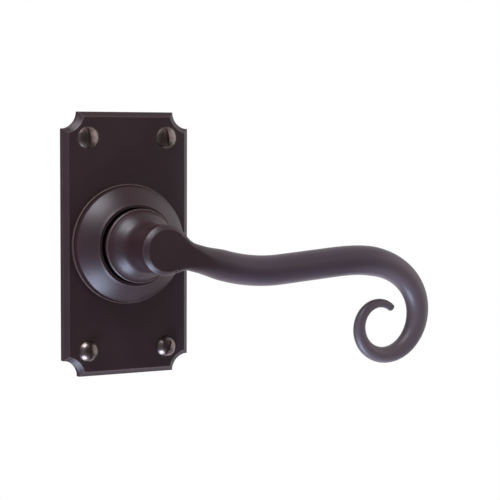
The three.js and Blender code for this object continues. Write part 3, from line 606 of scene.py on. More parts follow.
def dark_bronze_lacquer():
    """Cast bronze, chemically darkened and lacquered: a plum brown satin with soft highlights,
    paler along the edges that polishing has thinned, where a painted highlight lies too, paler
    along the arm and round the scroll with painted glare, and with painted shade in the creases."""
    colours = settings().colours
    material, tree, shader, at = blank_material("dark_bronze_lacquer")
    edge, crease = edges_and_creases(
        tree, edge_width=0.3 * MM, crease_width=1.1 * MM, crease_limits=(0.8, 0.4)
    )
    # Clouds of tone 12 mm across, where the darkening took unevenly
    clouds = add_node(tree, "TexNoise", {"Vector": at, "Scale": 1 / (12 * MM), "Detail": 3.0})
    # Painted glare: the bronze is painted lighter along the arm, from 15 mm outwards, and most round the
    # scroll, for the glare of the white background round the thin arm
    along = add_node(tree, "SeparateXYZ", {"Vector": at})
    from_eye = add_node(tree, "VectorMath", {0: at, 1: SCROLL_EYE}, operation="DISTANCE")
    # Sparse specks of dust, 0.25 mm wide in cells of 2.5 mm
    cells = add_node(tree, "TexVoronoi", {"Vector": at, "Scale": 1 / (2.5 * MM)})
    chance = add_node(tree, "SeparateColor", {"Color": cells.node.outputs["Color"]})
    shares = []
    changes = (along, ARM_GLARE), (from_eye, SCROLL_GLARE), (cells, SPECK), (chance, SPECK_CHANCE)
    for value, (low, high) in changes:
        ramp = {"Value": value, "From Min": low, "From Max": high}
        shares.append(add_node(tree, "MapRange", ramp, interpolation_type="SMOOTHSTEP"))
    arm_glare, scroll, near_speck, rare = shares
    speck = add_node(tree, "Math", {0: near_speck, 1: rare}, operation="MULTIPLY")
    # Pale bronze on the dust specks and the worn edges; on the edges it is also a painted highlight, for
    # the light that their rounding catches
    pale = add_node(tree, "Math", {0: speck, 1: edge}, operation="MAXIMUM")
    tone = rgba(colours.bronze)
    # The crease share lays painted shade into the creases
    for amount, tint in (
        (clouds, colours.bronze_cloud),
        (arm_glare, colours.bronze_arm_glare),
        (scroll, colours.bronze_scroll_glare),
        (crease, colours.bronze_crease_shade),
        (pale, colours.bronze_pale_wear_and_highlight),
    ):
        tone = add_node(tree, "Mix", {"Factor": amount, "A": tone, "B": rgba(tint)}, data_type="RGBA")
    # The lacquer is a little duller where it pooled and where wax holds dust
    dull = {"Value": clouds, "From Min": 0.3, "From Max": 0.7, "To Min": 0.4, "To Max": 0.46}
    gloss = add_node(tree, "MapRange", dull)
    # The grain of the sprayed lacquer, 0.35 mm, drawn as coarse as it needs to show
    grain = add_node(tree, "TexNoise", {"Vector": at, "Scale": 1 / (0.35 * MM), "Detail": 2.0})
    bump = add_node(tree, "Bump", {"Height": grain, "Strength": 1.0, "Distance": 0.004 * MM})
    feed(tree, shader, {"Base Color": tone, "Roughness": gloss, "Normal": bump})
    feed(tree, shader, {"Metallic": 0.0, "IOR": 1.5})
    return material


def burnished_screw_bronze():
    """Raised screw heads of dark bronze, turned and burnished: glossy, with the fine rings of the
    lathe and small pits; brown wax, which is no metal, fills the slot and the edge, painted light
    enough to stand for the light that the slot's walls reflect."""
    colours = settings().colours
    material, tree, shader, at = blank_material("burnished_screw_bronze")
    _, crease = edges_and_creases(
        tree, edge_width=0.2 * MM, crease_width=0.8 * MM, crease_limits=(0.8, 0.45)
    )
    across = add_node(tree, "UVMap", {}, uv_map="across")
    away = add_node(tree, "VectorMath", {0: across}, operation="LENGTH")
    # Rings 0.45 mm apart, drawn coarser than the lathe leaves them, so that they show
    half_ring = 0.225 * MM
    rings = add_node(tree, "Math", {0: away, 1: half_ring}, operation="PINGPONG")
    # Pits and stains 0.5 mm across
    pits = add_node(tree, "TexNoise", {"Vector": at, "Scale": 1 / (0.5 * MM), "Detail": 4.0})
    shares = []
    for value, low, high in ((rings, 0.0, half_ring), (pits, 0.35, 0.7)):
        ramp = {"Value": value, "From Min": low, "From Max": high}
        shares.append(add_node(tree, "MapRange", ramp, interpolation_type="SMOOTHSTEP"))
    ring, stain = shares
    tone = rgba(colours.screw)
    # Brown in the creases: wax, and painted light for what the slot's walls reflect
    for amount, tint in ((stain, rgba(colours.screw, 0.55)), (crease, rgba(colours.screw_wax_and_slot_light))):
        tone = add_node(tree, "Mix", {"Factor": amount, "A": tone, "B": tint}, data_type="RGBA")
    bare = add_node(tree, "Math", {0: 1.0, 1: crease}, operation="SUBTRACT")
    dull = {"Value": pits, "From Min": 0.3, "From Max": 0.75, "To Min": 0.24, "To Max": 0.48}
    gloss = add_node(tree, "MapRange", dull)
    relief = add_node(tree, "Math", {0: ring, 1: pits}, operation="ADD")
    bump = add_node(tree, "Bump", {"Height": relief, "Strength": 1.0, "Distance": 0.006 * MM})
    feed(tree, shader, {"Base Color": tone, "Metallic": bare, "Roughness": gloss, "Normal": bump})
    # A thin clear lacquer over the bronze, which keeps the lamps' glints white
    feed(tree, shader, {"Coat Weight": 0.75, "Coat Roughness": 0.12})
    return material


def metal(tint, name, roughness, grain_size):
    """A bare or plated metal: its tone, with dull patches of a real size, worn bright edges and painted
    shade in the creases.
    """
    material, tree, shader, at = blank_material(name)
    edge, crease = edges_and_creases(
        tree, edge_width=0.2 * MM, crease_width=1.0 * MM, crease_limits=(0.7, 0.2)
    )
    grain = add_node(tree, "TexNoise", {"Vector": at, "Scale": 1 / grain_size, "Detail": 3.0})
    bright = [min(1.0, 1.4 * c) for c in tint]
    tone = rgba(tint)
    # Darker by half in the creases: painted shade
    for amount, patch in ((grain, rgba(tint, 0.7)), (crease, rgba(tint, 0.5)), (edge, rgba(bright))):
        tone = add_node(tree, "Mix", {"Factor": amount, "A": tone, "B": patch}, data_type="RGBA")
    limits = {"From Min": 0.3, "From Max": 0.7, "To Min": roughness, "To Max": roughness + 0.15}
    gloss = add_node(tree, "MapRange", {"Value": grain, **limits})
    bump = add_node(tree, "Bump", {"Height": grain, "Strength": 1.0, "Distance": 0.003 * MM})
    feed(tree, shader, {"Base Color": tone, "Metallic": 1.0, "Roughness": gloss, "Normal": bump})
    return material


# The material of each metal, with its roughness and the size of its patches
METALS = {
    # Turned brass: warm, with faint patches of tarnish
    "brass": ("turned_brass", 0.28, 3 * MM),
    # Zinc plate: pale, slightly blue and finely mottled
    "steel": ("zinc_plated_steel", 0.3, 0.8 * MM),
    # Phosphate: a nearly black, dull and dry skin
    "black_steel": ("phosphated_steel", 0.55, 0.5 * MM),
    # Drawn wire, blued and oiled: dark and smooth
    "spring_steel": ("oiled_spring_steel", 0.22, 1.2 * MM),
}
MATERIALS = {}


def material_of(finish):
    """Each finish is made once and shared by its pieces."""
    if finish not in MATERIALS:
        if finish == "bronze":
            made = dark_bronze_lacquer()
        elif finish == "screw":
            made = burnished_screw_bronze()
        else:
            made = metal(getattr(settings().colours, finish), *METALS[finish])
        MATERIALS[finish] = made
    return MATERIALS[finish]


# ---- Backplate ----


def plate_outline(size, inset, y):
    """The plate's outline drawn in by an inset, one corner made and mirrored to all four."""
    bm = bmesh.new()
    corner = Vector((PLATE[1].x, 0, PLATE[1].z))
    radius = size.notch_radius + inset
    lean = math.asin(inset / radius)
    start = bm.verts.new((corner.x - inset, 0, corner.z - radius * math.cos(lean)))
    last = wound(bm, [start], corner, Y_AXIS, math.pi / 2 - 2 * lean, size.notch_steps)
    end = next(v for v in last if isinstance(v, bmesh.types.BMVert))
    if end.co.x > start.co.x:
        raise RuntimeError("the notch was scooped the wrong way")
    bm.edges.new((start, bm.verts.new((start.co.x, 0, 0))))
    bm.edges.new((end, bm.verts.new((0, 0, end.co.z))))
    for axis in ("X", "Z"):
        bmesh.ops.mirror(bm, geom=bm.verts[:] + bm.edges[:], axis=axis, merge_dist=SEAM)
    bmesh.ops.remove_doubles(bm, verts=bm.verts, dist=SEAM)
    return placed(bm, (0, y, 0))


def bevelled_slab(size):
    """Outlines from the door to the plate's face, bridged one to the next and filled at both ends."""
    step = PLATE_FRONT + size.step_depth
    levels = [
        (0, PLATE[1].y),
        (0, step + size.bevel_depth),
        (size.bevel_width, step),
        (size.bevel_width + size.step_width, PLATE_FRONT),
    ]
    bm = combined([plate_outline(size, inset, y) for inset, y in levels])
    outlines = bm.edges[:]
    for (_, back), (_, front) in zip(levels, levels[1:]):
        pair = [e for e in outlines if front - WELD < e.verts[0].co.y < back + WELD]
        bmesh.ops.bridge_loops(bm, edges=pair)
    bmesh.ops.holes_fill(bm, edges=[e for e in outlines if e.is_boundary])
    return softened(closed(bm), size.edge_radius)


def countersunk_cutter(head, shank, sink, y_face, y_end, way):
    """A countersunk hole; way is +1 where it runs into the door and -1 where it runs out."""
    past = y_face - way * OVERRUN
    cone = [(head, past, 0), (head, y_face, 0), (shank, y_face + way * sink, 0)]
    return turned([(0, past, 0), *cone, (shank, y_end, 0), (0, y_end, 0)], steps=ROD_STEPS)


def rose_screw_hole(name):
    size, gap = settings().fixings, settings().plate.hole_clearance
    head, shank = radius_of(name) + gap, size.rose_shank_radius + gap
    hole = countersunk_cutter(head, shank, size.rose_sink, 0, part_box(name)[0].y - gap, -1)
    return placed(hole, foot_of(name))


def plate_holes(size):
    fixings, gap = settings().fixings, size.hole_clearance
    shank = fixings.shank_radius + gap
    tools = []
    for name in WOOD_SCREWS:
        head = radius_of(name) + size.head_clearance
        hole = countersunk_cutter(head, shank, fixings.sink, PLATE_FRONT, OVERRUN, 1)
        tools.append(placed(hole, foot_of(name)))
    tools += [rose_screw_hole(name) for name in ROSE_SCREWS]
    for name in PINS:
        hole = rod(radius_of(name) + gap, PLATE_FRONT - OVERRUN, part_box(name)[1].y + gap)
        tools.append(placed(hole, foot_of(name)))
    tools.append(rod(size.bush_hole, PLATE_FRONT - OVERRUN, OVERRUN, BUSH_HOLE_STEPS))
    return combined(tools)


class HANDLE_OT_backplate(Operator):
    """Make the bevelled backplate with its scooped corners and its holes"""

    bl_idname = "door_handle.backplate"
    bl_label = "Backplate"

    def execute(self, context):
        size = settings().plate
        piece = object_of(bevelled_slab(size), "backplate_bevelled")
        boolean(piece, plate_holes(size), "DIFFERENCE")
        finished(piece, "plate_body", "bronze", ["backplate"], 50)
        return {"FINISHED"}


# ---- Rose ring ----


def rose_corners(size):
    """The rose's section: a flange, a groove, a wall, a full cone, a lip and a hollow inside."""
    foot, height = ROSE[1].x, PLATE_FRONT - ROSE[0].y
    wall = foot - size.flange_width
    groove = wall - size.groove_width
    flange_top, groove_foot = out(size.flange_height), out(size.flange_height - size.groove_depth)
    groove_edge, lip_edge, soft = 0.06 * MM, 0.12 * MM, size.soft_edge
    top = height - size.lip_step
    swollen = (size.wall_height + top) / 2 + size.cone_swell
    control = ((size.edge_radius + size.lip_radius) / 2 + size.cone_swell, out(swollen))
    cone = sweep((size.edge_radius, out(size.wall_height)), control, (size.lip_radius, out(top)))
    return [
        (foot, out(0), 0),
        (foot, flange_top, SOFT),
        (wall, flange_top, groove_edge),
        (wall, groove_foot, 0),
        (groove, groove_foot, 0),
        (groove, flange_top, 0),
        (size.edge_radius, out(size.wall_height), soft),
        *cone,
        (size.lip_radius - size.lip_bevel, out(height), lip_edge),
        (size.bore_radius, out(height), soft),
        (size.bore_radius, out(size.roof_height), 0),
        (size.roof_radius, out(size.roof_height), 0),
        (size.cavity_radius, out(size.cavity_wall), 0),
        (size.cavity_radius, out(0), 0),
    ]


class HANDLE_OT_rose_ring(Operator):
    """Turn the conical rose ring that covers the spring"""

    bl_idname = "door_handle.rose_ring"
    bl_label = "Rose ring"

    def execute(self, context):
        size = settings().rose
        piece = object_of(turned(rose_corners(size), ring=True), "rose_ring_turned")
        front, back = out(size.boss_height), out(0)
        bosses = [placed(rod(size.boss_radius, front, back), foot_of(name)) for name in ROSE_SCREWS]
        boolean(piece, combined(bosses), "UNION")
        boolean(piece, combined([rose_screw_hole(name) for name in ROSE_SCREWS]), "DIFFERENCE")
        remade(piece, without_slivers)
        finished(piece, "plate_body", "bronze", ["rose_ring"])
        return {"FINISHED"}


# ---- Lever ----


def arm_stations(size):
    """Places along the arm's centreline: x, z, heading and distance from the spindle's axis."""
    dip, turn, end = 1 / size.dip_radius, -1 / size.turn_radius, -1 / size.scroll_end_radius
    stretches = [
        (size.root_length, 0, 0),
        (size.dip_radius * size.dip_sweep, dip, dip),
        (size.rise_length, 0, 0),
        (size.crest_length, 0, turn),
        (size.turn_length, turn, turn),
        (size.scroll_length, turn, end),
    ]
    x, z, heading, distance = 0.0, 0.0, -size.root_slope, 0.0
    stations = [(x, z, heading, distance)]
    for span, first, last in stretches:
        steps = math.ceil(span / STATION_STEP)
        step = span / steps
        for i in range(steps):
            bend = (first + (last - first) * (i + 0.5) / steps) * step
            x += step * math.cos(heading + bend / 2)
            z += step * math.sin(heading + bend / 2)
            heading += bend
            distance += step
            stations.append((x, z, heading, distance))
    return stations


def smooth(value, low, high):
    t = min(max((value - low) / (high - low), 0), 1)
    return t * t * (3 - 2 * t)


def arm_section(size, distance, arm_length):
    """Half width, depth and front corner radius of the arm's section at a distance."""
    if distance > size.taper_start:
        t = (distance - size.taper_start) / (arm_length - size.taper_start)
        radius = size.grip_radius + (size.tip_radius - size.grip_radius) * t
        return radius, radius, radius
    swell = smooth(distance, size.waist_end, size.waist_end + size.swell_length)
    half = size.waist_radius + (size.grip_radius - size.waist_radius) * swell
    rounding = smooth(distance, root_contact(size)[1], size.waist_end + size.swell_length)
    corner = size.face_edge + (size.grip_radius - size.face_edge) * rounding
    return half, size.grip_radius, corner


def root_contact(size):
    """Where a ball that rolls between the arm's side and the round neck stands along the arm, and
    where it touches the neck."""
    radius = size.side_fillet
    along = math.sqrt((size.neck_radius + radius) ** 2 - (size.waist_radius + radius) ** 2)
    return along, along * size.neck_radius / (size.neck_radius + radius)


def section_points(half, deep, corner):
    """Points round a section: across, depth from its middle, and their outward direction."""
    back = min(half, deep)
    front = min(corner, back)
    centres = [
        (half - front, front - deep, front),
        (half - back, deep - back, back),
        (back - half, deep - back, back),
        (front - half, front - deep, front),
    ]
    points = []
    for quarter, (across, depth, radius) in enumerate(centres):
        for i in range(SECTION_STEPS + 1):
            angle = (quarter - 1 + i / SECTION_STEPS) * math.pi / 2
            c, s = math.cos(angle), math.sin(angle)
            points.append((across + radius * c, depth + radius * s, c, s))
    return points


def ring_of(bm, points):
    """A closed ring of as many points, from a circle whose vertices are moved to them."""
    made = bmesh.ops.create_circle(bm, cap_ends=False, segments=len(points), radius=1)
    for vert, point in zip(made["verts"], points):
        vert.co = point
    return sorted({e for v in made["verts"] for e in v.link_edges}, key=lambda e: e.index)


def arm_place(station, across, y, ahead=0.0):
    x, z, heading, _ = station
    c, s = math.cos(heading), math.sin(heading)
    return Vector((x + ahead * c - across * s, y, z + ahead * s + across * c))


def section_ring(station, centre_y, section, ahead=0.0):
    """A section of the arm, stood at a station or a little ahead of it."""
    return [
        arm_place(station, across, centre_y + depth, ahead)
        for across, depth, _, _ in section_points(*section)
    ]


def root_point(size, axis, centre_y, corner, point, u):
    """Where a point of the arm's section has come to, a share u of the way round its fillet: its
    line follows a ball that rolls between the arm and the neck."""
    across, depth, c, s = point
    back = s > 0
    # On the front corner the wall below it leads, and the corner is laid in from it
    wall = abs(across) if back else size.waist_radius
    lean = abs(c) if back else 1.0
    drop = math.sqrt(max(1 - lean**2, 0))
    radius = size.back_fillet + (size.side_fillet - size.back_fillet) * lean**2
    offset = wall + radius * lean
    reach = size.neck_radius + radius
    along = math.sqrt(reach**2 - offset**2)
    way = Vector((0, -lean, -drop)).slerp(Vector((-along, -offset, 0)) / reach, u)
    plan = Vector((along, offset, 0)) + radius * way
    sign = 1 if across >= 0 else -1
    if back:
        return arm_place(axis, sign * plan.y, centre_y + depth + radius * drop + radius * way.z, plan.x)
    plan = plan.xy - Vector((-way.x, -way.y)).normalized() * (corner * (1 - abs(c)))
    return arm_place(axis, sign * plan.y, centre_y + depth, plan.x)


def root_rings(size, centre_y, arm_length):
    """The rings of the fillet that carries the arm into the neck, from the arm to the neck."""
    axis = (0.0, 0.0, -size.root_slope, 0.0)
    first, last = root_contact(size)
    rings = []
    for i in range(ROOT_STEPS + 1):
        u = i / ROOT_STEPS
        _, deep, corner = arm_section(size, first + (last - first) * u, arm_length)
        points = section_points(size.waist_radius, deep, corner)
        rings.append([root_point(size, axis, centre_y, corner, point, u) for point in points])
    return rings


def lever_arm(size):
    """The arm as a loft of rings, from inside the neck to the tip of the scroll."""
    stations = arm_stations(size)
    tip, arm_length = stations[-1], stations[-1][3]
    centre_y = LEVER[0].y + size.grip_radius
    root_end = size.neck_radius + size.back_fillet + 0.2 * MM
    rings = list(reversed(root_rings(size, centre_y, arm_length)))
    for station in stations:
        if station[3] > root_end:
            section = arm_section(size, station[3], arm_length)
            rings.append(section_ring(station, centre_y, section))
    for i in range(1, ROUND_STEPS + 1):
        angle = i / ROUND_STEPS * math.pi / 2
        radius = size.tip_radius - size.tip_edge * (1 - math.cos(angle))
        rings.append(section_ring(tip, centre_y, [radius] * 3, size.tip_edge * math.sin(angle)))
    bm = bmesh.new()
    loops = [ring_of(bm, ring) for ring in rings]
    for one, two in zip(loops, loops[1:]):
        bmesh.ops.bridge_loops(bm, edges=one + two)
    bmesh.ops.holes_fill(bm, edges=loops[0] + loops[-1], sides=0)
    return closed(bm)


def neck_and_bell(size, neck_start, bell_foot):
    """The curve from below the face to the slimmest place, and from there out to the rim."""
    rise = size.valley_height - size.rim_height
    valley = (size.valley_radius, out(size.valley_height))
    below_face = (size.neck_radius, neck_start[1] + rise * size.face_ease)
    above_valley = (size.valley_radius, out(size.valley_height + rise * size.hollow_ease))
    below_valley = (size.valley_radius, out(size.valley_height - rise * size.shoulder_ease))
    reach = rise * size.rim_ease
    lean_in, lean_up = reach * math.sin(size.rim_lean), reach * math.cos(size.rim_lean)
    above_rim = (bell_foot[0] - lean_in, out(size.rim_height + lean_up))
    neck = bezier([neck_start, below_face, above_valley, valley])
    return neck + bezier([valley, below_valley, above_rim, bell_foot], BELL_STEPS)


def lever_head(size):
    """Face, neck, bell, rim, hub, key and shank, turned about the spindle's axis."""
    face, hub, end = PLATE_FRONT - LEVER[0].y, -LEVER[0].x, LEVER[1].y
    pull = size.face_edge * size.edge_flatness
    edge_start = (size.neck_radius - size.face_edge, out(face))
    neck_start = (size.neck_radius, out(face - size.face_edge))
    edge = sweep(edge_start, (size.neck_radius - pull, out(face - pull)), neck_start)
    rim, inner = hub + size.rim_stand, hub - size.rim_overhang
    rim_top = (rim - size.rim_edge, size.rim_height + size.rim_edge)
    bell_foot = (rim_top[0] - size.rim_groove_width, out(rim_top[1] - size.rim_groove_depth))
    rim_foot = out(size.rim_height - size.rim_wall)
    hub_base, key_end = out(size.hub_base_height), out(size.key_end_height)
    face_start_edge, rim_top_edge, rim_side_edge = 0.05 * MM, 0.08 * MM, 0.14 * MM
    shank, groove = size.shank_radius, size.shank_radius - size.groove_depth
    groove_front = CIRCLIP[0].y - settings().plate.hole_clearance
    groove_back = CIRCLIP[1].y + settings().plate.hole_clearance
    corners = [
        (0, out(face), 0),
        (*edge_start, face_start_edge),
        *edge,
        *neck_and_bell(size, neck_start, bell_foot),
        (rim_top[0], out(rim_top[1]), rim_top_edge),
        (rim, out(size.rim_height), rim_side_edge),
        (rim, rim_foot, CRISP),
        (inner, rim_foot, 0),
        (inner, hub_base, SOFT),
        (size.key_radius, hub_base, 0),
        (size.key_radius, key_end, 0),
        (shank, key_end, 0),
        (shank, groove_front, 0),
        (groove, groove_front, 0),
        (groove, groove_back, 0),
        (shank, groove_back, 0),
        (shank, end, SOFT),
        (0, end, 0),
    ]
    return turned(corners)


def lever_cuts(size):
    """The spindle's square socket, the grub screw's hole and the flats of the key."""
    half, side, reach = size.socket_width / 2, size.key_half_width, 2 * size.key_radius
    socket = box_of((-half, out(size.socket_height), -half), (half, LEVER[1].y + OVERRUN, half))
    hole = rod(size.grub_hole_radius, 0, size.neck_radius + OVERRUN)
    placed(hole, (0, out(size.grub_height), 0), Matrix.Rotation(-math.pi / 2, 3, "X"))
    front, back = out(size.hub_base_height), out(size.key_end_height - OVERRUN)
    right = box_of((side, front, -reach), (reach, back, reach))
    left = box_of((-reach, front, -reach), (-side, back, reach))
    return combined([socket, hole, right, left])


class HANDLE_OT_lever(Operator):
    """Turn the lever's head, loft its scrolled arm and join them"""

    bl_idname = "door_handle.lever"
    bl_label = "Lever"

    def execute(self, context):
        size = settings().lever
        piece = object_of(lever_head(size), "lever_scrolled")
        boolean(piece, lever_arm(size), "UNION")
        boolean(piece, lever_cuts(size), "DIFFERENCE")
        finished(piece, "lever_body", "bronze", ["lever"], 24)
        return {"FINISHED"}


# ---- Fixings ----


def marked_from_above(bm):
    """A UV map that holds each point's own place across the Y axis, in metres."""
    layer = bm.loops.layers.uv.new("across")
    for face in bm.faces:
        for loop in face.loops:
            loop[layer].uv = (loop.vert.co.x, loop.vert.co.z)
    return bm


def raised_head(size, head, dome, end):
    """A countersunk head with a full dome on its shank, from y = 0 at the plate's face."""
    edge = 0.1 * MM  # half the height of the head's thin side
    slope = 2 * math.atan((dome - edge) / head)
    # The handles that make a curve follow a circle's arc
    reach = 4 / 3 * math.tan(slope / 4) * head / math.sin(slope)
    side_handle = (head - reach * math.cos(slope), -edge - reach * math.sin(slope))
    curve = bezier([(0, -dome), (reach, -dome), side_handle, (head, -edge)])
    root = size.shank_radius - size.thread_depth
    shank = [
        (size.shank_radius, size.sink, SOFT),
        (size.shank_radius, size.plain_shank, CRISP),
        (root, size.plain_shank + size.thread_depth, 0),
        (root, end - size.point, 0),
        (size.tip_radius, end, CRISP),
        (0, end, 0),
    ]
    return turned([(0, -dome, 0), *curve, (head, edge, 0), *shank], steps=SCREW_STEPS)


def wood_thread(size, end):
    """A single thread that runs from the plain shank to the point, where it closes in."""
    bite, last_gap, slimmest = 0.1 * MM, 0.6 * MM, 0.05
    root = size.shank_radius - size.thread_depth - bite
    half = size.thread_pitch * 0.28  # half the width of the ridge, a little over a quarter pitch
    start = size.plain_shank + half
    turns = (end - last_gap - start - half) / size.thread_pitch
    corners = [(root, start - half, 0), (size.shank_radius, start, 0), (root, start + half, 0)]
    ridge = profile(corners, ring=True)
    section = ridge.verts[:] + ridge.edges[:]
    steps, rise = round(turns * THREAD_STEPS), size.thread_pitch / THREAD_STEPS
    wound(ridge, section, ORIGIN, Y_AXIS, math.tau * turns, steps, rise)
    capped(ridge)
    for vert in ridge.verts:
        left = (end - vert.co.y) / size.point
        if left < 1:
            slim = max(left, slimmest)
            bmesh.ops.scale(ridge, vec=(slim, 1, slim), verts=[vert])
    return closed(ridge)


class HANDLE_OT_wood_screws(Operator):
    """Make the four slotted wood screws with their threads"""

    bl_idname = "door_handle.wood_screws"
    bl_label = "Wood screws"

    def execute(self, context):
        size = settings().fixings
        half = size.slot_width / 2
        for name in WOOD_SCREWS:
            low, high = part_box(name)
            head, end = max(high.x - low.x, high.z - low.z) / 2, high.y - PLATE_FRONT
            dome = size.proud_dome if "bottom" in name else size.dome
            piece = object_of(raised_head(size, head, dome, end), name + "_slotted")
            boolean(piece, wood_thread(size, end), "UNION")
            reach = head + OVERRUN
            slot = box_of((-reach, -dome - OVERRUN, -half), (reach, size.slot_depth - dome, half))
            boolean(piece, slot, "DIFFERENCE")
            turn = about_y(getattr(size, name.removeprefix("screw_")))
            place = foot_of(name) + Vector((0, PLATE_FRONT, 0))
            remade(piece, lambda bm: placed(marked_from_above(bm), place, turn))
            finished(piece, "plate_body", "screw", [name])
        return {"FINISHED"}


def fine_thread(size, radius, start, end):
    """The corners of a thread too fine to wind: a row of turned grooves."""
    corners = []
    for i in range(math.floor((end - start) / size.fine_pitch)):
        y = start + i * size.fine_pitch
        corners += [(radius, y, 0), (radius - size.fine_depth, y + size.fine_pitch / 2, 0)]
    return corners


class HANDLE_OT_machine_screws(Operator):
    """Make the countersunk screws that hold the rose ring, and the lever's grub screw"""

    bl_idname = "door_handle.machine_screws"
    bl_label = "Machine screws"

    def execute(self, context):
        size = settings().fixings
        for name in ROSE_SCREWS:
            self.rose_screw(size, name)
        self.grub_screw(size)
        return {"FINISHED"}

    def rose_screw(self, size, name):
        low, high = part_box(name)
        head, end, radius = radius_of(name), high.y - low.y, size.rose_shank_radius
        plain_shank = 0.8 * MM
        thread = fine_thread(size, radius, size.rose_sink + plain_shank, end)
        corners = [(0, 0, 0), (head, 0, CRISP), (radius, size.rose_sink, 0), *thread]
        corners += [(radius - size.fine_depth, end, 0), (0, end, 0)]
        piece = object_of(turned(corners, steps=ROD_STEPS), name + "_slotted")
        half, reach = size.rose_slot_width / 2, head + OVERRUN
        slot = box_of((-reach, -OVERRUN, -half), (reach, size.rose_slot_depth, half))
        boolean(piece, slot, "DIFFERENCE")
        remade(piece, lambda bm: placed(bm, foot_of(name), Matrix.Rotation(math.pi, 3, "Z")))
        finished(piece, "plate_body", "steel", [name])

    def grub_screw(self, size):
        low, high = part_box("grub_screw")
        radius, tip, end = radius_of("grub_screw"), -high.z, -low.z
        narrow, cup_radius, cup_depth = radius - size.fine_depth, radius * 0.45, 0.4 * MM
        chamfer, thread_gap = 0.3 * MM, 0.5 * MM
        thread = fine_thread(size, radius, tip + thread_gap, end - chamfer)
        corners = [(0, tip + cup_depth, 0), (cup_radius, tip, 0), (narrow, tip + chamfer, 0), *thread]
        corners += [(narrow, end, 0), (0, end, 0)]
        piece = object_of(turned(corners, steps=ROD_STEPS), "grub_screw_socketed")
        key = bmesh.new()
        corner_radius = size.key_width / math.sqrt(3)
        bmesh.ops.create_circle(key, cap_ends=True, segments=6, radius=corner_radius)
        grown = bmesh.ops.extrude_face_region(key, geom=key.faces[:], use_keep_orig=True)
        top = [g for g in grown["geom"] if isinstance(g, bmesh.types.BMVert)]
        bmesh.ops.translate(key, vec=(0, 0, size.key_depth + OVERRUN), verts=top)
        placed(key, (0, end + OVERRUN, 0), Matrix.Rotation(math.pi / 2, 3, "X"))
        boolean(piece, closed(key), "DIFFERENCE")
        place, turn = (0, middle((low, high)).y, 0), Matrix.Rotation(-math.pi / 2, 3, "X")
        remade(piece, lambda bm: without_slivers(placed(bm, place, turn)))
        finished(piece, "lever_body", "black_steel", ["grub_screw"])


# ---- Bearing, cam and what holds the lever in ----


class HANDLE_OT_bearing(Operator):
    """Turn the bush and the thrust washer, and bend the circlip"""

    bl_idname = "door_handle.bearing"
    bl_label = "Bearing"

    def execute(self, context):
        size = settings().hidden
        self.bush(size)
        self.washer(size)
        self.circlip(size)
        return {"FINISHED"}

    def bush(self, size):
        soft, bore, wall = size.soft_edge, size.bush_bore, size.bush_bore + size.bush_wall
        front, back = BUSH[0].y, BUSH[1].y
        head = [(bore, front, soft), (BUSH[1].x, front, soft), (BUSH[1].x, out(0), soft)]
        tube = [(wall, out(0), 0), (wall, back, soft), (bore, back, soft)]
        piece = object_of(turned(head + tube, ring=True), "bush_turned")
        finished(piece, "plate_body", "brass", ["bush"])

    def washer(self, size):
        low, high = WASHER
        corners = square_ring(size.bush_bore, high.x, low.y, high.y, size.soft_edge)
        piece = object_of(turned(corners, ring=True), "thrust_washer_turned")
        finished(piece, "lever_body", "brass", ["thrust_washer"])

    def circlip(self, size):
        front, back, inner = CIRCLIP[0].y, CIRCLIP[1].y, size.circlip_inner
        bm = profile(square_ring(inner, inner + size.circlip_width, front, back, 0), ring=True)
        start = (size.circlip_mouth - math.pi) / 2
        placed(bm, turn=about_y(start))
        section = bm.verts[:] + bm.edges[:]
        wound(bm, section, ORIGIN, Y_AXIS, size.circlip_mouth - math.tau, CIRCLIP_STEPS)
        piece = object_of(closed(capped(bm)), "circlip_eared")
        places = [on_circle(inner + size.ear_radius, angle, 0) for angle in (start, math.pi - start)]
        for radius, past, steps, operation in (
            (size.ear_radius, 0, EAR_STEPS, "UNION"),
            (size.ear_hole, OVERRUN, EAR_HOLE_STEPS, "DIFFERENCE"),
        ):
            rods = [placed(rod(radius, front - past, back + past, steps), place) for place in places]
            boolean(piece, combined(rods), operation)
        remade(piece, without_slivers)
        finished(piece, "lever_body", "spring_steel", ["circlip"])


class HANDLE_OT_spindle(Operator):
    """Make the square spindle bar"""

    bl_idname = "door_handle.spindle"
    bl_label = "Spindle"

    def execute(self, context):
        size = settings().hidden
        square = math.radians(60)  # an edge that turns more than this is still square
        bm = box_of(*SPINDLE)
        long_edges = [e for e in bm.edges if run_of(e) > size.bar_chamfer]
        bevelled(bm, long_edges, size.bar_edge, EDGE_STEPS, "EDGES")
        ends = [e for e in bm.edges if e.calc_face_angle() > square and run_of(e) == 0]
        bevelled(bm, ends, size.bar_chamfer, 1, "EDGES")
        piece = object_of(closed(bm), "spindle_bar")
        finished(piece, "lever_body", "steel", ["spindle"])
        return {"FINISHED"}


def drawn(bm, geom, way):
    """Draws a ring of wire straight out and returns the new ring."""
    edges = [g for g in geom if isinstance(g, bmesh.types.BMEdge)]
    grown = bmesh.ops.extrude_edge_only(bm, edges=edges)["geom"]
    verts = [g for g in grown if isinstance(g, bmesh.types.BMVert)]
    bmesh.ops.translate(bm, vec=way, verts=verts)
    fresh = set(verts)
    return verts + [g for g in grown if isinstance(g, bmesh.types.BMEdge) and fresh.issuperset(g.verts)]


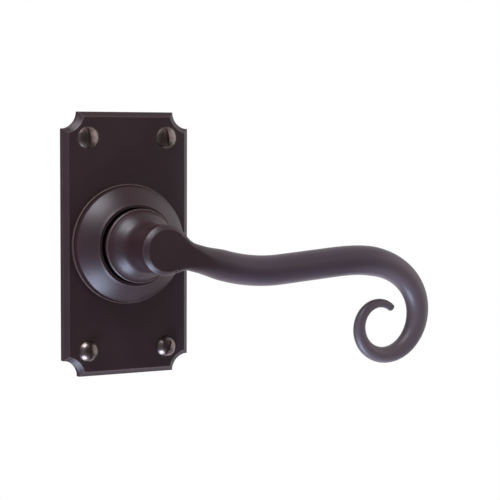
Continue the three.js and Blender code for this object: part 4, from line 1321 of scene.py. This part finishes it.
class HANDLE_OT_return_spring(Operator):
    """Wind the return spring: a leg beside its pin, the coils and a leg up into the cam"""

    bl_idname = "door_handle.return_spring"
    bl_label = "Return spring"

    def execute(self, context):
        size = settings().spring
        radius, bend = size.coil_radius, size.bend
        lead = math.sqrt((radius + bend) ** 2 - bend**2)
        touch = math.atan2(bend, lead)
        coiled = math.tau * size.turns - touch - math.atan2(bend, radius)
        climb = size.pitch * size.turns
        bm = bmesh.new()
        bmesh.ops.create_circle(bm, cap_ends=False, segments=WIRE_STEPS, radius=size.wire_radius)
        placed(bm, (size.leg_reach, out(size.foot), 0), Matrix.Rotation(math.pi / 2, 3, "Y"))
        last = drawn(bm, bm.verts[:] + bm.edges[:], (lead - size.leg_reach, 0, 0))
        last = wound(bm, last, (lead, 0, bend), Y_AXIS, math.pi / 2 - touch, BEND_STEPS)
        last = wound(bm, last, ORIGIN, Y_AXIS, -coiled, COIL_STEPS, -climb / COIL_STEPS)
        angle = touch + coiled
        centre = on_circle(radius, angle, out(size.foot + climb + bend))
        last = wound(bm, last, centre, on_circle(1, angle, 0), math.pi / 2, BEND_STEPS)
        drawn(bm, last, (0, size.foot + climb + bend - size.rise, 0))
        placed(capped(bm), turn=about_y(size.fixed_angle))
        piece = object_of(closed(bm), "return_spring_wound")
        finished(piece, None, "spring_steel", ["return_spring"], 60)
        out(size.foot)
        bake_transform(piece)
        return {"FINISHED"}


# ---- Hidden pieces that keep their nodes ----


class HANDLE_OT_plain_nodes(Operator):
    """Give the pieces that keep their own mesh their finish"""

    bl_idname = "door_handle.plain_nodes"
    bl_label = "Finish the kept pieces"

    def execute(self, context):
        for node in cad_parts.values():
            if not node.hide_render:
                node.data.materials.clear()
                node.data.materials.append(material_of("black_steel"))
        return {"FINISHED"}


# ---- Stage ----


class StageSizes:
    """Where the camera, the lamps and the floor stand, and how bright the studio is."""

    camera = Vector((-0.2394, -0.5564, 0.0443))
    look = (-27.96, 4.43)  # where it looks from: azimuth and elevation in degrees
    roll = math.radians(0.27)
    sensor, lens = 36, 111.6
    nearest, farthest = 0.01, 20
    aim = Vector((0, PLATE_FRONT, 0))
    # Azimuth and elevation in degrees, distance, width, radiance and tint
    lamps = {
        "key": (-66, 57, 0.8, 0.45, 9.8, (0.9, 0.93, 1)),
        "low": (-66, -60, 0.6, 0.3, 17.5, (0.64, 0.74, 1)),
        "left": (-90, 50, 0.8, 0.8, 0.55, (1, 0.95, 1)),
        "fill": (-62, 0, 0.8, 0.8, 0.28, (0.85, 0.9, 1)),
        "front": (46, 42, 0.8, 0.9, 0.35, (1, 0.93, 1)),
        "right": (62, 8, 0.8, 0.8, 0.85, (1, 0.93, 1)),
        "below": (62, -54, 0.6, 0.5, 0.35, (0.85, 0.85, 1)),
        "under": (140, -52, 0.6, 0.5, 1.1, (1, 0.9, 1)),
    }
    # Where the white backdrop faces, and the cosines between which it fades in
    backdrop = (130, 0.0, 0.75)
    left_end = (100, -0.35, 0.45)
    dim = 0.1
    # Radius of the floor, how far below the handle it lies, and the radii between which it fades
    floor_radius, floor_drop, fade_start, fade_end = 1.6, 0.6, 0.6, 1.5


def way_to(azimuth, elevation):
    """A unit vector; azimuth 0 is in front of the door and 90 is at the scroll's side."""
    a, e = math.radians(azimuth), math.radians(elevation)
    return Vector((math.sin(a) * math.cos(e), -math.cos(a) * math.cos(e), math.sin(e)))


def add_softbox(name, azimuth, elevation, distance, width, radiance, tint):
    light = bpy.data.lights.new(name, "AREA")
    light.shape = "SQUARE"
    light.size = width
    light.energy = radiance * math.pi * width**2
    light.color = tint
    lamp = bpy.data.objects.new(name, light)
    way = way_to(azimuth, elevation)
    lamp.location = StageSizes.aim + distance * way
    lamp.rotation_mode = "QUATERNION"
    lamp.rotation_quaternion = (-way).to_track_quat("-Z", "Y")
    lamp.visible_camera = False
    bpy.context.scene.collection.objects.link(lamp)


def make_camera():
    """Seen from the left of the door and a little above the spindle."""
    stage = StageSizes
    data = bpy.data.cameras.new("camera")
    data.sensor_width = stage.sensor
    data.lens = stage.lens
    data.clip_start, data.clip_end = stage.nearest, stage.farthest
    camera = bpy.data.objects.new("camera", data)
    bpy.context.scene.collection.objects.link(camera)
    bpy.context.scene.camera = camera
    camera.location = stage.camera
    turn = (-way_to(*stage.look)).to_track_quat("-Z", "Y").to_matrix()
    camera.rotation_mode = "QUATERNION"
    camera.rotation_quaternion = (turn @ Matrix.Rotation(stage.roll, 3, "Z")).to_quaternion()


def make_background():
    """White to the eye, and a white backdrop behind and beside for metal to mirror; otherwise a
    dim room."""
    world = bpy.data.worlds.new("studio")
    bpy.context.scene.world = world
    world.use_nodes = True
    tree = world.node_tree
    rays = add_node(tree, "LightPath", {}).node.outputs
    way = add_node(tree, "TexCoord", {}, "Generated")
    mirrored = rays["Is Glossy Ray"]
    for azimuth, low, high in (StageSizes.backdrop, StageSizes.left_end):
        facing = add_node(tree, "VectorMath", {0: way, 1: way_to(azimuth, 0)}, operation="DOT_PRODUCT")
        ramp = {"Value": facing, "From Min": low, "From Max": high}
        lit = add_node(tree, "MapRange", ramp, interpolation_type="SMOOTHSTEP")
        mirrored = add_node(tree, "Math", {0: mirrored, 1: lit}, operation="MULTIPLY")
    white = mirrored
    for ray in ("Is Camera Ray", "Is Transmission Ray"):
        white = add_node(tree, "Math", {0: rays[ray], 1: white}, operation="MAXIMUM")
    strength = add_node(tree, "Mix", {"Factor": white, "A": StageSizes.dim, "B": 1.0}, data_type="FLOAT")
    feed(tree, tree.nodes["Background"].inputs, {"Color": (1, 1, 1, 1), "Strength": strength})


def make_floor():
    """A pale floor below the handle, which fades into the white background."""
    stage = StageSizes
    bm = bmesh.new()
    bmesh.ops.create_circle(bm, cap_ends=True, segments=FLOOR_STEPS, radius=stage.floor_radius)
    floor = object_of(placed(bm, (0, 0, CAD_BOX[0].z - stage.floor_drop)), "floor")
    material, tree, shader, at = blank_material("pale_floor")
    flat = add_node(tree, "VectorMath", {0: at, 1: (1, 1, 0)}, operation="MULTIPLY")
    away = add_node(tree, "VectorMath", {0: flat}, operation="LENGTH")
    ramp = {"Value": away, "From Min": stage.fade_end, "From Max": stage.fade_start}
    fade = add_node(tree, "MapRange", ramp, interpolation_type="SMOOTHSTEP")
    feed(tree, shader, {"Base Color": rgba(settings().colours.floor), "Roughness": 0.9})
    feed(tree, shader, {"Specular IOR Level": 0.2, "Alpha": fade})
    floor.data.materials.append(material)


class HANDLE_OT_stage(Operator):
    """Set the floor, the lights, the background and the camera"""

    bl_idname = "door_handle.stage"
    bl_label = "Studio"

    def execute(self, context):
        make_camera()
        make_background()
        make_floor()
        for name, lamp in StageSizes.lamps.items():
            add_softbox(name, *lamp)
        return {"FINISHED"}


# ---- Add-on ----


PIECES = [
    HANDLE_OT_stage,
    HANDLE_OT_backplate,
    HANDLE_OT_rose_ring,
    HANDLE_OT_lever,
    HANDLE_OT_wood_screws,
    HANDLE_OT_machine_screws,
    HANDLE_OT_bearing,
    HANDLE_OT_spindle,
    HANDLE_OT_return_spring,
    HANDLE_OT_plain_nodes,
]


class HANDLE_PT_panel(Panel):
    """The handle's pieces, sizes and colours"""

    bl_label = "Door lever handle"
    bl_idname = "HANDLE_PT_panel"
    bl_space_type = "VIEW_3D"
    bl_region_type = "UI"
    bl_category = "Door handle"

    def draw(self, context):
        for piece in PIECES:
            self.layout.operator(piece.bl_idname)
        for group in HandleSettings.__annotations__:
            held = getattr(context.scene.door_handle, group)
            box = self.layout.box()
            box.label(text=group.capitalize())
            for name in type(held).__annotations__:
                box.prop(held, name)


GROUPS = [PlateSizes, LeverSizes, RoseSizes, FixingSizes, HiddenSizes, SpringSizes, FinishColours]
CLASSES = [*GROUPS, HandleSettings, *PIECES, HANDLE_PT_panel]


def register():
    for made in CLASSES:
        bpy.utils.register_class(made)
    bpy.types.Scene.door_handle = PointerProperty(type=HandleSettings)


def unregister():
    del bpy.types.Scene.door_handle
    for made in reversed(CLASSES):
        bpy.utils.unregister_class(made)


def main():
    register()
    bpy.context.scene.view_settings.view_transform = "Standard"
    for piece in PIECES:
        group, name = piece.bl_idname.split(".")
        getattr(getattr(bpy.ops, group), name)()


if __name__ == "__main__":
    main()
